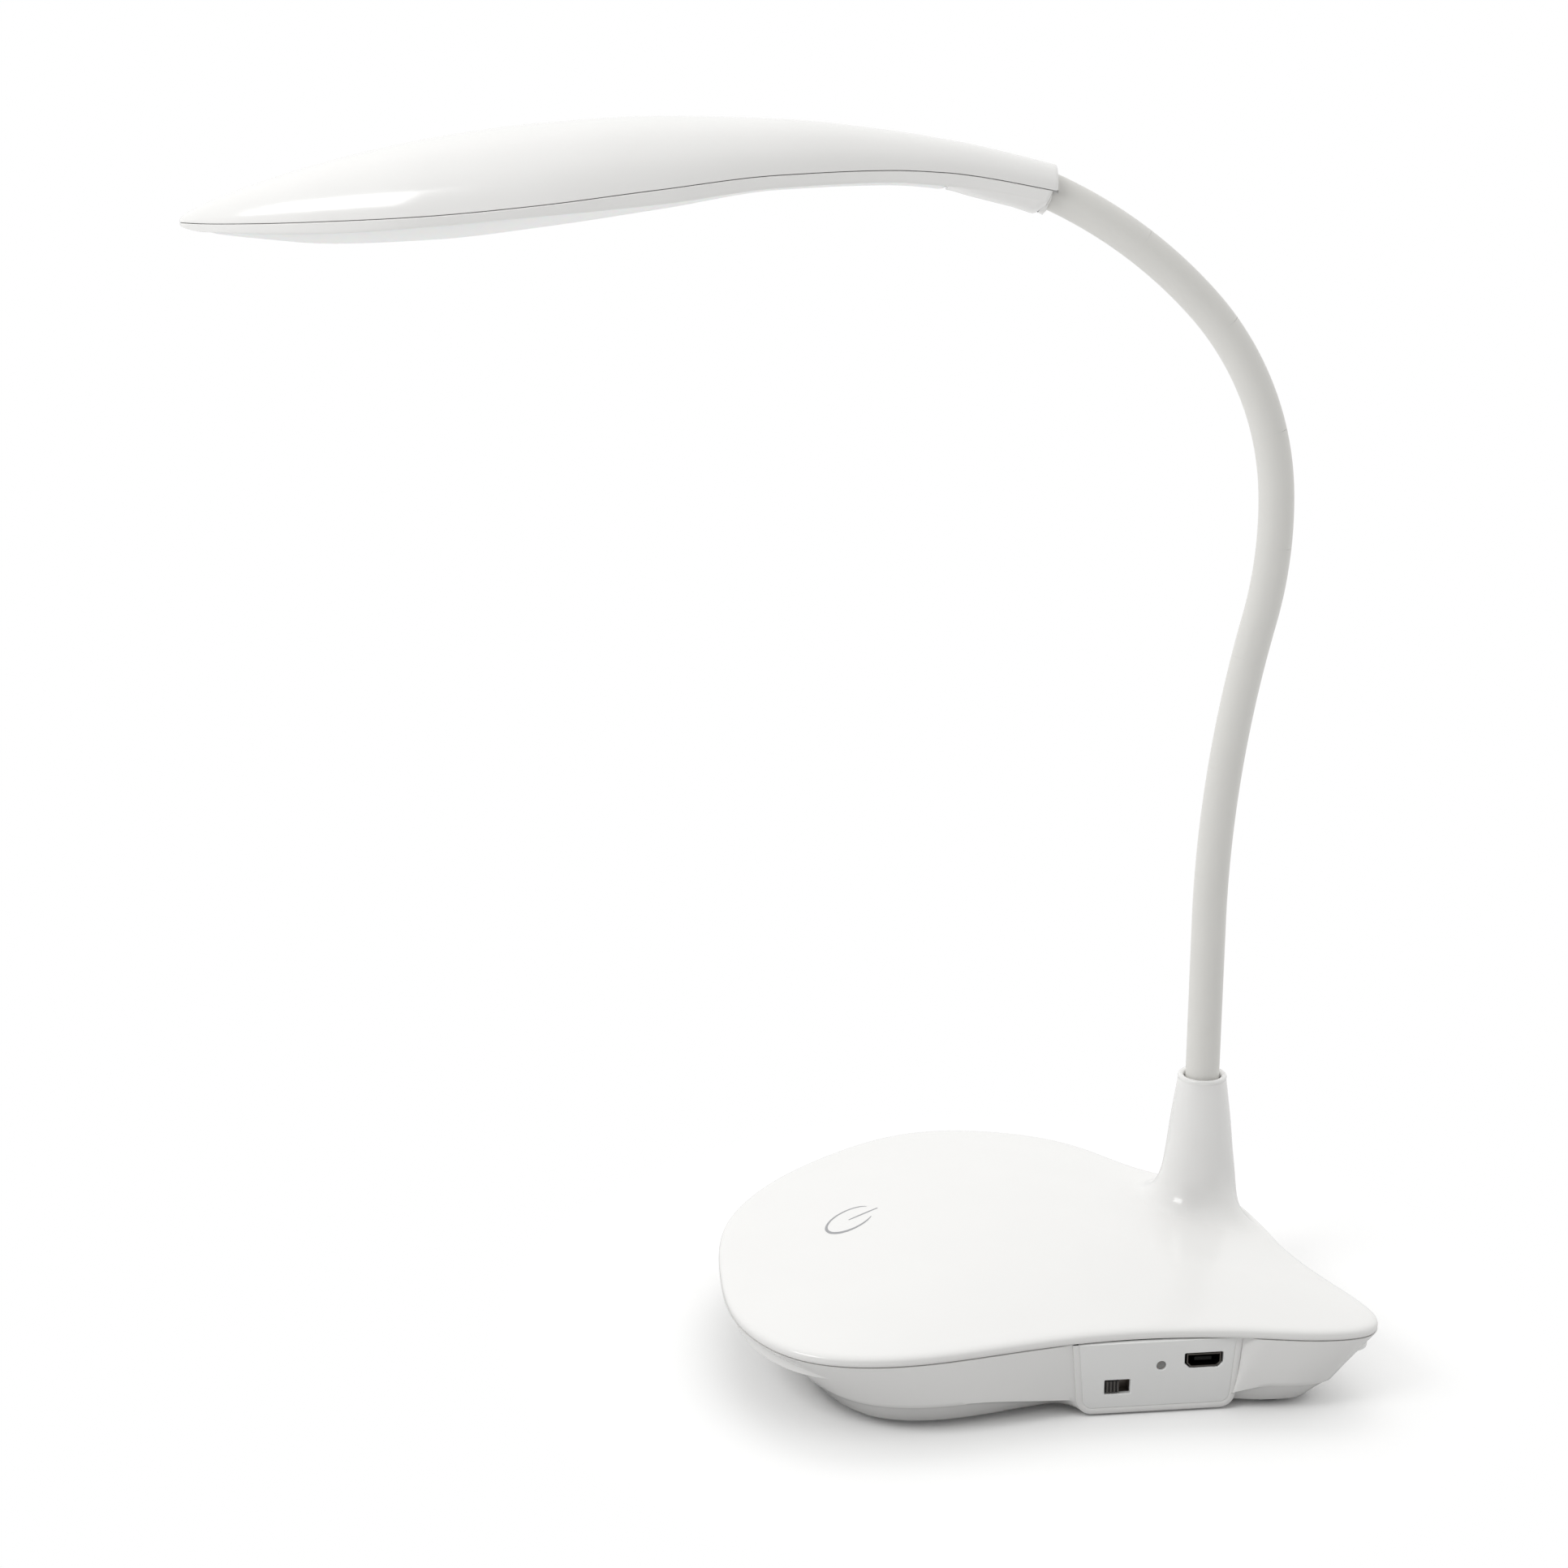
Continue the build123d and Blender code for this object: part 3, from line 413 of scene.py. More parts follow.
@dataclass(frozen=True)
class BaseSizes:
    """Sizes of the base in millimetres."""

    length: float = 141.5
    width: float = 124.0
    seam: float = 16.8
    gap: float = 0.3
    rim_top: float = 19.0
    dome: float = 4.6
    belly: float = 1.4
    wall: float = 2.0
    neck: tuple[float, float] = (43.0, 15.0)
    dome_centre: tuple[float, float] = (3.962, 0.0)
    tuck_centre: tuple[float, float] = (19.952, -44.02)


class Rim:
    """Leaf-shaped outline of the base."""

    SAMPLES = 4000
    STEP = 0.05

    def __init__(self, sizes: BaseSizes) -> None:
        self.sizes = sizes
        self.points = np.array(RIM_SHARES) * (sizes.length, sizes.width)
        runs = np.linalg.norm(np.roll(self.points, -1, axis=0) - self.points, axis=1)
        self.marks = np.concatenate([[0.0], np.cumsum(runs)])
        self.total = float(self.marks[-1])
        dense = self.at(np.linspace(0, self.total, self.SAMPLES, endpoint=False))
        away = dense - sizes.dome_centre
        angle = np.arctan2(away[:, 1], away[:, 0])
        order = np.argsort(angle)
        self.angles, self.reach = angle[order], np.linalg.norm(away, axis=1)[order]

    def at(self, marks: Points) -> Points:
        """Points of the outline at parameters."""
        return loop_spline(self.points, self.marks, marks)

    def inward(self, marks: Points) -> Points:
        """Unit vectors that point into the outline."""
        ahead = self.at(marks + self.STEP) - self.at(marks - self.STEP)
        ahead /= np.linalg.norm(ahead, axis=1)[:, None]
        return np.column_stack([-ahead[:, 1], ahead[:, 0]])

    def dome(self, spots: Points) -> Points:
        """Height of the domed top over points in the plane."""
        away = spots - np.array(self.sizes.dome_centre)
        angle = np.arctan2(away[:, 1], away[:, 0])
        edge = np.interp(angle, self.angles, self.reach, period=2 * math.pi)
        share = np.clip(np.linalg.norm(away, axis=1) / edge, 0, 1)
        return self.sizes.rim_top + self.sizes.dome * (1 - share**2)


class TopShell:
    """Domed upper shell with its lip and the boss of the neck, as one skin."""

    CONE = ((19.6, 9.3), (27.0, 8.6), (34.6, 7.65), (41.0, 6.95), (51.0, 5.58))
    BEAD = ((5.50, 51.25), (5.58, 51.45), (5.62, 51.75), (5.54, 52.05), (5.34, 52.26), (5.08, 52.3),
            (4.62, 52.22), (4.36, 52.0), (4.22, 51.6), (4.2, 49.0), (4.2, 45.0))
    CONE_TOP = 51.0
    CONE_START, CONE_ROWS = 0.08, 12
    FOOT, FOOT_FLARE, FOOT_MARGIN = 9.3, 1.15, 1.0
    FILLET_TOP, FILLET_FLARE = 29.5, 0.25
    FILLET_RUN, FILLET_RISE, FILLET_ROWS = 0.66, 0.52, 22
    LEAN_STEP = 0.5
    DOME_ROWS, DOME_POWER = 40, 1.15
    GAP_SHARE = 0.4
    UNDERSIDE = ((2.4, 1.6), (2.4, 0.0), (0.7, 0.0), (0.34, 0.05), (0.1, 0.2), (0.02, 0.42))
    BAND = 2.8
    BAND_PULL = 0.95
    BAND_SIDES = (17.65, 18.85)
    BAND_ROOM, BAND_LEAST, BAND_ROWS = 5.0, 0.30, 13
    STEP = 0.4

    def __init__(self, rim: Rim, columns: int = 760) -> None:
        self.rim = rim
        self.sizes = rim.sizes
        self.marks = np.linspace(0, rim.total, columns, endpoint=False)
        self.edge = rim.at(self.marks)
        self.inward = rim.inward(self.marks)
        self.neck = np.array(self.sizes.neck)
        away = self.edge - self.neck
        self.span = np.linalg.norm(away, axis=1)
        self.ray = away / self.span[:, None]
        angle = np.arctan2(self.ray[:, 1], self.ray[:, 0]) / (2 * math.pi) * len(FLARE_REACH)
        flare = np.array(FLARE_REACH)[:, None]
        self.reach = loop_spline(flare, np.arange(len(FLARE_REACH) + 1.0), angle)[:, 0]
        self.foot = np.minimum(self.FOOT + self.FOOT_FLARE * self.reach, self.span - self.FOOT_MARGIN)
        self.root = self.neck + self.ray * self.foot[:, None]

    def lift(self, spots: Points, heights: Points) -> Points:
        """Plane points with their heights."""
        return np.column_stack([spots, np.broadcast_to(heights, len(spots))])

    def around(self, radius: Points | float, height: Points | float) -> Points:
        """Points at a radius about the neck, one for each column."""
        radius = np.broadcast_to(radius, len(self.ray))
        return self.lift(self.neck + self.ray * radius[:, None], height)

    def cone(self, height: Points) -> Points:
        """Radius of the cone at heights."""
        knots = np.array(self.CONE)
        return smooth_run(knots[:, 0], knots[:, 1], height)

    def lip(self, patch: Patch) -> tuple[list[Row], Points]:
        """Underside and rounded band of the rim.

        Args:
            patch: takes the points.

        Returns:
            The rows, outermost underside first, and the plane points of the last one.
        """
        low = self.sizes.seam + self.GAP_SHARE * self.sizes.gap
        rows = []
        for inset, height in self.UNDERSIDE:
            rows.append(patch.row(self.lift(self.edge + inset * self.inward, low + height)))
        room = np.clip((self.span - self.foot) / self.BAND_ROOM, self.BAND_LEAST, 1.0)
        inner = self.edge + (self.BAND * room)[:, None] * self.inward
        top = self.rim.dome(inner)
        next_in = self.edge + (self.BAND * room + self.STEP)[:, None] * self.inward
        slope = (self.rim.dome(next_in) - top) / self.STEP
        fall = slope * (self.BAND - self.BAND_PULL) * room
        for t in np.linspace(0.0, 1.0, self.BAND_ROWS):
            a, b, c, d = bezier(t)
            inset = (c * self.BAND_PULL + d * self.BAND) * room
            height = a * self.BAND_SIDES[0] + b * self.BAND_SIDES[1] + c * (top - fall) + d * top
            rows.append(patch.row(self.lift(self.edge + inset[:, None] * self.inward, height)))
        return rows, inner

    def boss(self, patch: Patch) -> list[Row]:
        """Fillet, cone, ring and bore of the boss, from the dome up."""
        rows = []
        base = self.rim.dome(self.root)
        beyond = self.rim.dome(self.root - self.ray * self.STEP)
        climb = (beyond - base) / self.STEP
        top = self.FILLET_TOP + self.FILLET_FLARE * self.reach
        waist = self.cone(top)
        lean = (self.cone(top + self.LEAN_STEP) - waist) / self.LEAN_STEP
        run = (self.foot - waist) * self.FILLET_RUN
        rise = (top - base) * self.FILLET_RISE
        for t in np.linspace(0.0, 1.0, self.FILLET_ROWS):
            a, b, c, d = bezier(t)
            radius = a * self.foot + b * (self.foot - run) + c * (waist - lean * rise) + d * waist
            height = a * base + b * (base + climb * run) + c * (top - rise) + d * top
            rows.append(patch.row(self.around(radius, height)))
        for t in np.linspace(self.CONE_START, 1.0, self.CONE_ROWS):
            height = top + (self.CONE_TOP - top) * t
            rows.append(patch.row(self.around(self.cone(height), height)))
        for radius, height in self.BEAD:
            rows.append(patch.row(self.around(radius, height)))
        return rows

    def build(self) -> bpy.types.Object:
        """Draws the skin.

        Returns:
            The finished shell.
        """
        patch = Patch()
        rows, inner = self.lip(patch)
        for t in (np.linspace(0, 1, self.DOME_ROWS) ** self.DOME_POWER)[1:-1]:
            spots = inner + (self.root - inner) * t
            rows.append(patch.row(self.lift(spots, self.rim.dome(spots))))
        rows.extend(self.boss(patch))
        patch.sheet(rows, closed=True)
        return patch.build("top_shell", (-20, 0, 900), crease=50.0)


@dataclass(frozen=True)
class PanelSizes:
    """Sizes of the socket panel in millimetres, in its own plane with the origin at the seam."""

    x: float = 25.5
    y: float = -49.2
    turn: float = 6.5
    top_half: float = 18.4
    corner_x: float = 13.79
    corner_z: float = 4.0
    corner: float = 3.5
    lean: float = 4.91
    border: float = 1.3
    plate: float = 1.2
    bottom: float = 0.5


class Panel:
    """Plane and outline of the socket panel."""

    def __init__(self, sizes: PanelSizes, seam: float) -> None:
        self.sizes = sizes
        self.seam = seam
        turn = math.radians(sizes.turn)
        self.along = np.array([math.cos(turn), math.sin(turn), 0.0])
        self.back = np.array([-math.sin(turn), math.cos(turn), 0.0])

    def place(self, a: float, z: float, depth: float) -> Points:
        """Point in space from a place along the panel, its height, and how far behind the front it is."""
        origin = np.array([self.sizes.x, self.sizes.y, 0.0])
        return origin + self.along * a + self.back * depth + np.array([0, 0, z])

    def side(self, share: float, border: float) -> tuple[float, float]:
        """Point of the outline's right half: share 0 to 1 down the side, 1 to 2 round the corner."""
        s = self.sizes
        radius = s.corner - border
        lean = math.radians(s.lean)
        start = (s.corner_x + radius * math.cos(lean), s.corner_z - radius * math.sin(lean))
        top = (s.top_half - border / math.cos(lean), self.seam)
        if share <= 1:
            return top[0] + (start[0] - top[0]) * share, top[1] + (start[1] - top[1]) * share
        angle = -lean - (math.pi / 2 - lean) * (share - 1)
        return s.corner_x + radius * math.cos(angle), s.corner_z + radius * math.sin(angle)

    def outline(self, border: float, drop: float = 0.0) -> Points:
        """Closed outline in the panel's plane, y up from the seam, drawn in by a border.

        Args:
            border: how far it is drawn in.
            drop: how far its top edge is below the seam.

        Returns:
            The points, one a row.
        """
        right = [self.side(share, border) for share in np.linspace(0, 2, 25)]
        loop = [(a, min(z - self.seam, -drop)) for a, z in right]
        loop += [(-a, min(z - self.seam, -drop)) for a, z in reversed(right)]
        return np.array(loop)


class BottomShell:
    """Tucked lower shell, its chine sweeping down into the frame of the socket panel."""

    HEIGHTS = (1.4, 2.63, 4.63, 10.5, 16.8)
    SHARES_X = (0.735, 0.772, 0.805, 0.897, 1.0)
    SHARES_Y = (0.815, 0.845, 0.872, 0.934, 1.0)
    SIDE_ROWS = 14
    CORNER_ROWS = 10
    REACH = {-1: 9.0, 1: 6.0}
    FRAME_RINGS = ((0.08, 0.10), (0.35, 0.0), (1.12, 0.0), (1.28, 0.10), (1.44, 0.17))
    EDGE_DEPTH = 0.36
    CHINE = {-1: 7.1, 1: 6.4}
    CHINE_LOW = {-1: 4.2, 1: 3.9}
    CHINE_RUN = {-1: 32.0, 1: 13.0}
    TUCK = 5.6
    TUCK_LOW = 4.8
    TUCK_RUN = 34.0
    MIDDLE = (0.0, -5.0)
    FLANGE_FOOT = 13.0
    FRONT = -38.0
    NEAR = 34.0
    PULLED, PULL_POWER = 30.0, 2.6
    TUCK_POWER = 0.85
    CHINE_FAR, CHINE_KEPT = 90, 0.4
    SAMPLES = 6000
    PANEL_COLUMNS, OTHER_COLUMNS = 45, 380
    NEXT_COLUMNS, NEXT_RUN, NEXT_POWER = 20, 14.0, 1.7
    ELSEWHERE = 9.0
    FLOOR_RINGS = ((0.985, 0.97), (0.95, 0.85), (0.88, 0.45), (0.76, 0.0), (0.5, 0.0), (0.2, 0.0))
    SAME = 1e-9

    def __init__(self, rim: Rim, panel: Panel) -> None:
        self.rim = rim
        self.panel = panel
        self.centre = np.array(rim.sizes.tuck_centre)
        self.marks, self.edges = self.columns()
        self.edge = rim.at(self.marks)
        self.seam = rim.sizes.seam
        self.low = self.chine()
        self.reach = self.tucks()

    def columns(self) -> tuple[Points, list[float]]:
        """Parameters of the columns, and each one's place along the panel in half widths or beyond it."""
        half = self.panel.sizes.top_half
        fine = np.linspace(0, self.rim.total, self.SAMPLES, endpoint=False)
        spots = self.rim.at(fine)
        a = (spots - (self.panel.sizes.x, self.panel.sizes.y)) @ self.panel.along[:2]
        front = (spots[:, 1] < self.FRONT) & (np.abs(a) < self.NEAR)
        steps = self.NEXT_RUN * np.linspace(0, 1, self.NEXT_COLUMNS)[1:] ** self.NEXT_POWER
        inside = np.linspace(-half, half, self.PANEL_COLUMNS)
        wanted = np.concatenate([-half - steps[::-1], inside, half + steps])
        order = np.argsort(a[front])
        near = np.interp(wanted, a[front][order], fine[front][order])
        rest = np.linspace(near[-1], near[0] + self.rim.total, self.OTHER_COLUMNS)[1:-1]
        tags = list(wanted / half) + [self.ELSEWHERE] * len(rest)
        return np.concatenate([near, np.mod(rest, self.rim.total)]), tags

    def end_column(self, sign: int) -> int:
        """Number of the column at the left or the right end of the panel."""
        return int(np.argmin([abs(t - sign) for t in self.edges]))

    def beyond(self) -> tuple[Points, Points]:
        """How far each column is from the panel along the rim, and on which side of it."""
        total = self.rim.total
        left, right = (self.marks[self.end_column(sign)] for sign in (-1, 1))
        before, after = np.mod(left - self.marks, total), np.mod(self.marks - right, total)
        away = np.minimum(before, after)
        away[[abs(t) <= 1 + self.SAME for t in self.edges]] = 0.0
        return away, np.where(before < after, -1, 1)

    def chine(self) -> Points:
        """Height of the wall's lower edge at each column, low beside the panel."""
        away, side = self.beyond()
        run, low = (np.where(side < 0, pair[-1], pair[1]) for pair in (self.CHINE_RUN, self.CHINE_LOW))
        share = np.where(side < 0, 1.0, np.clip(away / self.CHINE_FAR - self.CHINE_KEPT, 0, 1))
        high = self.CHINE[1] + (self.CHINE[-1] - self.CHINE[1]) * share
        return low + (high - low) * ease(np.clip(away / run, 0, 1))

    def tucks(self) -> Points:
        """How far the underside draws in at each column, a little less beside the panel."""
        away, _ = self.beyond()
        return self.TUCK_LOW + (self.TUCK - self.TUCK_LOW) * ease(np.clip(away / self.TUCK_RUN, 0, 1))

    def far(self, drop: float, tuck: float, shrink: float = 1.0) -> Points:
        """The wall and the underside away from the panel.

        Args:
            drop: share of the way from the seam down to the chine.
            tuck: share of the way from the chine in and down to the floor.
            shrink: size of the row about the middle of the base.

        Returns:
            One point for each column.
        """
        level = self.seam + (self.low - self.seam) * drop
        shares = [smooth_run(self.HEIGHTS, v, level) for v in (self.SHARES_X, self.SHARES_Y)]
        spots = self.centre + (self.edge - self.centre) * np.column_stack(shares)
        away = spots - np.array(self.MIDDLE)
        away *= (1 - self.reach * tuck**self.TUCK_POWER / np.linalg.norm(away, axis=1))[:, None] * shrink
        level = level + (self.rim.sizes.belly - level) * tuck
        return np.column_stack([away + np.array(self.MIDDLE), level])

    def levels(self) -> list[tuple[float, float, float]]:
        """Drop, tuck and place down the panel's outline of each row, from the seam to the floor."""
        wall = [i / self.SIDE_ROWS for i in range(self.SIDE_ROWS + 1)]
        under = [i / self.CORNER_ROWS for i in range(1, self.CORNER_ROWS + 1)]
        return [(t, 0.0, t) for t in wall] + [(1.0, t, 1 + t) for t in under]

    def shaped(self, drop: float, tuck: float, share: float, shrink: float, hold: float) -> Points:
        """One row, pulled onto the panel's outline where it passes the panel."""
        points = self.far(drop, tuck, shrink)
        half = self.panel.sizes.top_half
        a, z = self.panel.side(min(share, 2.0), 0.0)
        for sign in (-1, 1):
            pull = self.panel.place(sign * a, z, self.EDGE_DEPTH) - points[self.end_column(sign)]
            for i, t in enumerate(self.edges):
                beyond = (abs(t) - 1) * half
                if t * sign < 1 - self.SAME or beyond > self.PULLED:
                    continue
                left = max(0.0, 1 - beyond / self.REACH[sign])
                points[i] = points[i] + pull * left**self.PULL_POWER * hold
        if share >= 2.0:
            s = self.panel.sizes
            for i, t in enumerate(self.edges):
                if abs(t) < 1 - self.SAME:
                    spot = self.panel.place(t * s.corner_x, s.bottom, self.EDGE_DEPTH)
                    points[i] = points[i] + (spot - points[i]) * hold
        return points

    def build(self) -> bpy.types.Object:
        """Draws the wall, the frame round the plate and the floor.

        Returns:
            The finished shell.
        """
        patch = Patch()
        levels = self.levels()
        rows = [patch.row(self.shaped(drop, tuck, share, 1.0, 1.0)) for drop, tuck, share in levels]
        count = len(self.edges)
        for upper, lower in zip(rows, rows[1:]):
            for i, t in enumerate(self.edges):
                j = (i + 1) % count
                if abs(t) < 1 - self.SAME or abs(t + 1) < self.SAME:
                    continue
                patch.faces.append((upper[i], upper[j], lower[j], lower[i]))
        under = [rows[-1]]
        for shrink, hold in self.FLOOR_RINGS:
            under.append(patch.row(self.shaped(1.0, 1.0, 2.0, shrink, hold)))
        patch.sheet(under, closed=True)
        patch.cap(under[-1])
        self.flange(patch, rows[0])
        self.frame(patch, levels)
        return patch.build("bottom_shell", (0, 0, -900), crease=50.0)

    def flange(self, patch: Patch, top: Row) -> None:
        """Flat top edge of the wall, which ends at the panel."""
        inner = self.edge + self.rim.sizes.wall * self.rim.inward(self.marks)
        inside, lower = (
            patch.row(np.column_stack([inner, np.full(len(inner), level)]))
            for level in (self.seam, self.FLANGE_FOOT)
        )
        count = len(self.edges)
        for i in range(count):
            j = (i + 1) % count
            if min(abs(self.edges[i]), abs(self.edges[j])) > 1 - self.SAME:
                patch.faces.append((top[i], top[j], inside[j], inside[i]))
                patch.faces.append((inside[i], inside[j], lower[j], lower[i]))

    def frame(self, patch: Patch, levels: list[tuple[float, float, float]]) -> None:
        """Rounded frame of the panel, from its outer edge to the seat of the plate."""
        rings = []
        inside = [t for t in self.edges if abs(t) < 1 - self.SAME]
        for border, depth in ((0.0, self.EDGE_DEPTH), *self.FRAME_RINGS):
            side = [self.panel.side(min(share, 2.0), border) for _, _, share in levels]
            bottom = self.panel.sizes.bottom + border
            loop = [self.panel.place(-a, z, depth) for a, z in side]
            loop += [self.panel.place(t * self.panel.sizes.corner_x, bottom, depth) for t in inside]
            loop += [self.panel.place(a, z, depth) for a, z in reversed(side)]
            rings.append(patch.row(np.array(loop)))
        patch.sheet(rings)


class SocketPlate:
    """Plate with the slot of the switch, the light pipe's hole and the charging port."""

    PORT_SPOT = (10.1, -5.0)
    SLOT_SPOT = (-8.5, -10.2)
    HOLE_SPOT = (0.9, -5.8)
    PORT_HALF, PORT_CUT, PORT_CORNER = (4.2, 1.75), 1.15, 0.42
    SLOT_HALF, SLOT_CORNER = (2.8, 1.65), 0.22
    HOLE_RADIUS, HOLE_SIDES = 1.05, 40
    BEVEL = 0.14
    FIT = 0.1
    PROUD = 0.04

    def __init__(self, panel: Panel) -> None:
        self.panel = panel

    @staticmethod
    def rounded(corners: list[tuple[float, float]], radius: float, steps: int = 6) -> Points:
        """Polygon with rounded corners."""
        loop = []
        count = len(corners)
        for i in range(count):
            here = np.array(corners[i])
            before, after = np.array(corners[i - 1]) - here, np.array(corners[(i + 1) % count]) - here
            before, after = before / np.linalg.norm(before), after / np.linalg.norm(after)
            half = math.acos(float(np.clip(before @ after, -1, 1))) / 2
            reach = radius / math.tan(half)
            start, end = here + before * reach, here + after * reach
            for t in np.linspace(0, 1, steps):
                loop.append((1 - t) ** 2 * start + 2 * t * (1 - t) * here + t * t * end)
        return np.array(loop)

    @classmethod
    def box(cls, w: float, h: float, radius: float, steps: int = 6) -> Points:
        """Rectangle with rounded corners, from its half width and half height."""
        return cls.rounded([(w, h), (-w, h), (-w, -h), (w, -h)], radius, steps)

    def port_painted_shade(self, grow: float) -> Points:
        """Outline of the charging port, wider at the top."""
        (w, h), cut = (half + grow for half in self.PORT_HALF), self.PORT_CUT
        corners = [(w, h), (-w, h), (-w, cut - h), (cut - w, -h), (w - cut, -h), (w, cut - h)]
        return self.rounded(corners, self.PORT_CORNER + grow) + self.PORT_SPOT

    def slot(self, grow: float) -> Points:
        """Outline of the switch slot."""
        w, h = (half + grow for half in self.SLOT_HALF)
        return self.box(w, h, self.SLOT_CORNER + grow) + self.SLOT_SPOT

    def hole(self, grow: float) -> Points:
        """Outline of the light pipe's hole."""
        angle = np.linspace(0, 2 * math.pi, self.HOLE_SIDES, endpoint=False)
        return (self.HOLE_RADIUS + grow) * np.column_stack([np.cos(angle), np.sin(angle)]) + self.HOLE_SPOT

    def build(self) -> bpy.types.Object:
        """Draws the plate in its place.

        Returns:
            The finished plate.
        """
        border = self.panel.sizes.border + self.FIT
        bevel = self.BEVEL
        loops, grown = ([self.port_painted_shade(g), self.slot(g), self.hole(g)] for g in (0.0, bevel))
        outer = self.panel.outline(border, self.FIT)
        inner = self.panel.outline(border + bevel, self.FIT + bevel)
        patch = holed_plate(outer, loops, [inner, *grown], self.panel.sizes.plate, bevel)
        placed = [self.panel.place(u, v + self.panel.seam, self.PROUD - w) for u, v, w in patch.points]
        patch.points = [tuple(p) for p in placed]
        return patch.build("socket_plate", (25, -900, 10), crease=25.0)


class TouchMark:
    """Round touch mark with a bar, printed on the dome."""

    CENTRE = np.array([-38.44, 1.15])
    LONG = np.array([5.43, 4.71])
    SHORT = np.array([-0.66, 5.12])
    BAR = (np.array([-38.76, 0.84]), np.array([-32.0, 6.7]))
    LIFT = 0.03
    ARC, ARC_POINTS, BAR_POINTS = (36, 326), 120, 20
    ENDS, ENDS_RUN, ENDS_WIDTH = (34, 328), 25, (0.35, 0.65)
    THIN, SWELL, SWELL_AT, SWELL_RUN = 0.42, 0.62, 222, 46
    BAR_WIDTH = (0.30, 0.16)

    def __init__(self, rim: Rim) -> None:
        self.rim = rim

    def stroke(self, patch: Patch, line: Points, widths: Points) -> None:
        """Lays one stroke of changing width on the dome."""
        ahead = np.gradient(line, axis=0)
        ahead /= np.linalg.norm(ahead, axis=1)[:, None]
        across = np.column_stack([-ahead[:, 1], ahead[:, 0]])
        rows = []
        for side in np.linspace(-0.5, 0.5, 4):
            spots = line + across * (side * widths)[:, None]
            rows.append(patch.row(np.column_stack([spots, self.rim.dome(spots) + self.LIFT])))
        patch.sheet(rows)

    def build(self) -> bpy.types.Object:
        """Draws the ring and the bar.

        Returns:
            The finished mark.
        """
        patch = Patch()
        t = np.radians(np.linspace(*self.ARC, self.ARC_POINTS))
        turn = np.degrees(t)
        ring = self.CENTRE + np.cos(t)[:, None] * self.LONG + np.sin(t)[:, None] * self.SHORT
        first, last = self.ENDS
        ends = np.minimum(1, (turn - first) / self.ENDS_RUN) * np.minimum(1, (last - turn) / self.ENDS_RUN)
        swell = np.exp(-(((turn - self.SWELL_AT) / self.SWELL_RUN) ** 2))
        widths = (self.THIN + self.SWELL * swell) * (self.ENDS_WIDTH[0] + self.ENDS_WIDTH[1] * ends)
        self.stroke(patch, ring, widths)
        share = np.linspace(0, 1, self.BAR_POINTS)
        bar = self.BAR[0] + share[:, None] * (self.BAR[1] - self.BAR[0])
        self.stroke(patch, bar, self.BAR_WIDTH[0] + self.BAR_WIDTH[1] * np.sin(share * math.pi))
        return patch.build("touch_mark", (-38, 1, 900))


# ---------------------------------------------------------------- node trees
class NodeTree:
    """Geometry node tree with named inputs, which a subclass fills in."""

    name = "tree"

    def __init__(self) -> None:
        self.tree = bpy.data.node_groups.new(self.name, "GeometryNodeTree")
        self.ids: dict[str, str] = {}
        self.socket("Geometry", "NodeSocketGeometry")
        self.tree.interface.new_socket("Geometry", in_out="OUTPUT", socket_type="NodeSocketGeometry")
        self.inputs()
        self.entry = self.tree.nodes.new("NodeGroupInput")
        self.exit = self.tree.nodes.new("NodeGroupOutput")

    def inputs(self) -> None:
        raise NotImplementedError

    def socket(self, name: str, kind: str) -> None:
        """Adds a named input."""
        made = self.tree.interface.new_socket(name, in_out="INPUT", socket_type=kind)
        self.ids[name] = made.identifier

    def node(self, kind: str) -> bpy.types.Node:
        """Adds a node."""
        return self.tree.nodes.new(kind)

    def close(self, shape: bpy.types.NodeSocket) -> None:
        """Ends the tree: real geometry with its material."""
        real = self.node("GeometryNodeRealizeInstances")
        coat = self.node("GeometryNodeSetMaterial")
        self.tree.links.new(shape, real.inputs["Geometry"])
        self.tree.links.new(real.outputs["Geometry"], coat.inputs["Geometry"])
        self.tree.links.new(self.entry.outputs["Material"], coat.inputs["Material"])
        self.tree.links.new(coat.outputs["Geometry"], self.exit.inputs["Geometry"])

    def run(
        self, maker: bpy.types.Object, name: str, crease: float = 32.0, **values: object
    ) -> bpy.types.Object:
        """Applies the tree to an object.

        Args:
            maker: the object that carries the tree, used up by it.
            name: name of the finished piece.
            crease: edges sharper than this many degrees stay sharp.
            values: the value of each named input.

        Returns:
            A plain mesh object.
        """
        live = maker.modifiers.new(self.name, "NODES")
        live.node_group = self.tree
        for key, value in values.items():
            live[self.ids[key]] = value
        return plain_copy(maker, name, crease)


class TubeTree(NodeTree):
    """Round tube swept along a curve."""

    name = "round_tube"

    def __init__(self) -> None:
        super().__init__()
        ring = self.node("GeometryNodeCurvePrimitiveCircle")
        sweep = self.node("GeometryNodeCurveToMesh")
        link = self.tree.links.new
        link(self.entry.outputs["Radius"], ring.inputs["Radius"])
        link(self.entry.outputs["Sides"], ring.inputs["Resolution"])
        link(self.entry.outputs["Geometry"], sweep.inputs["Curve"])
        link(ring.outputs["Curve"], sweep.inputs["Profile Curve"])
        self.close(sweep.outputs["Mesh"])

    def inputs(self) -> None:
        """Radius and number of sides of the tube."""
        self.socket("Radius", "NodeSocketFloat")
        self.socket("Sides", "NodeSocketInt")
        self.socket("Material", "NodeSocketMaterial")


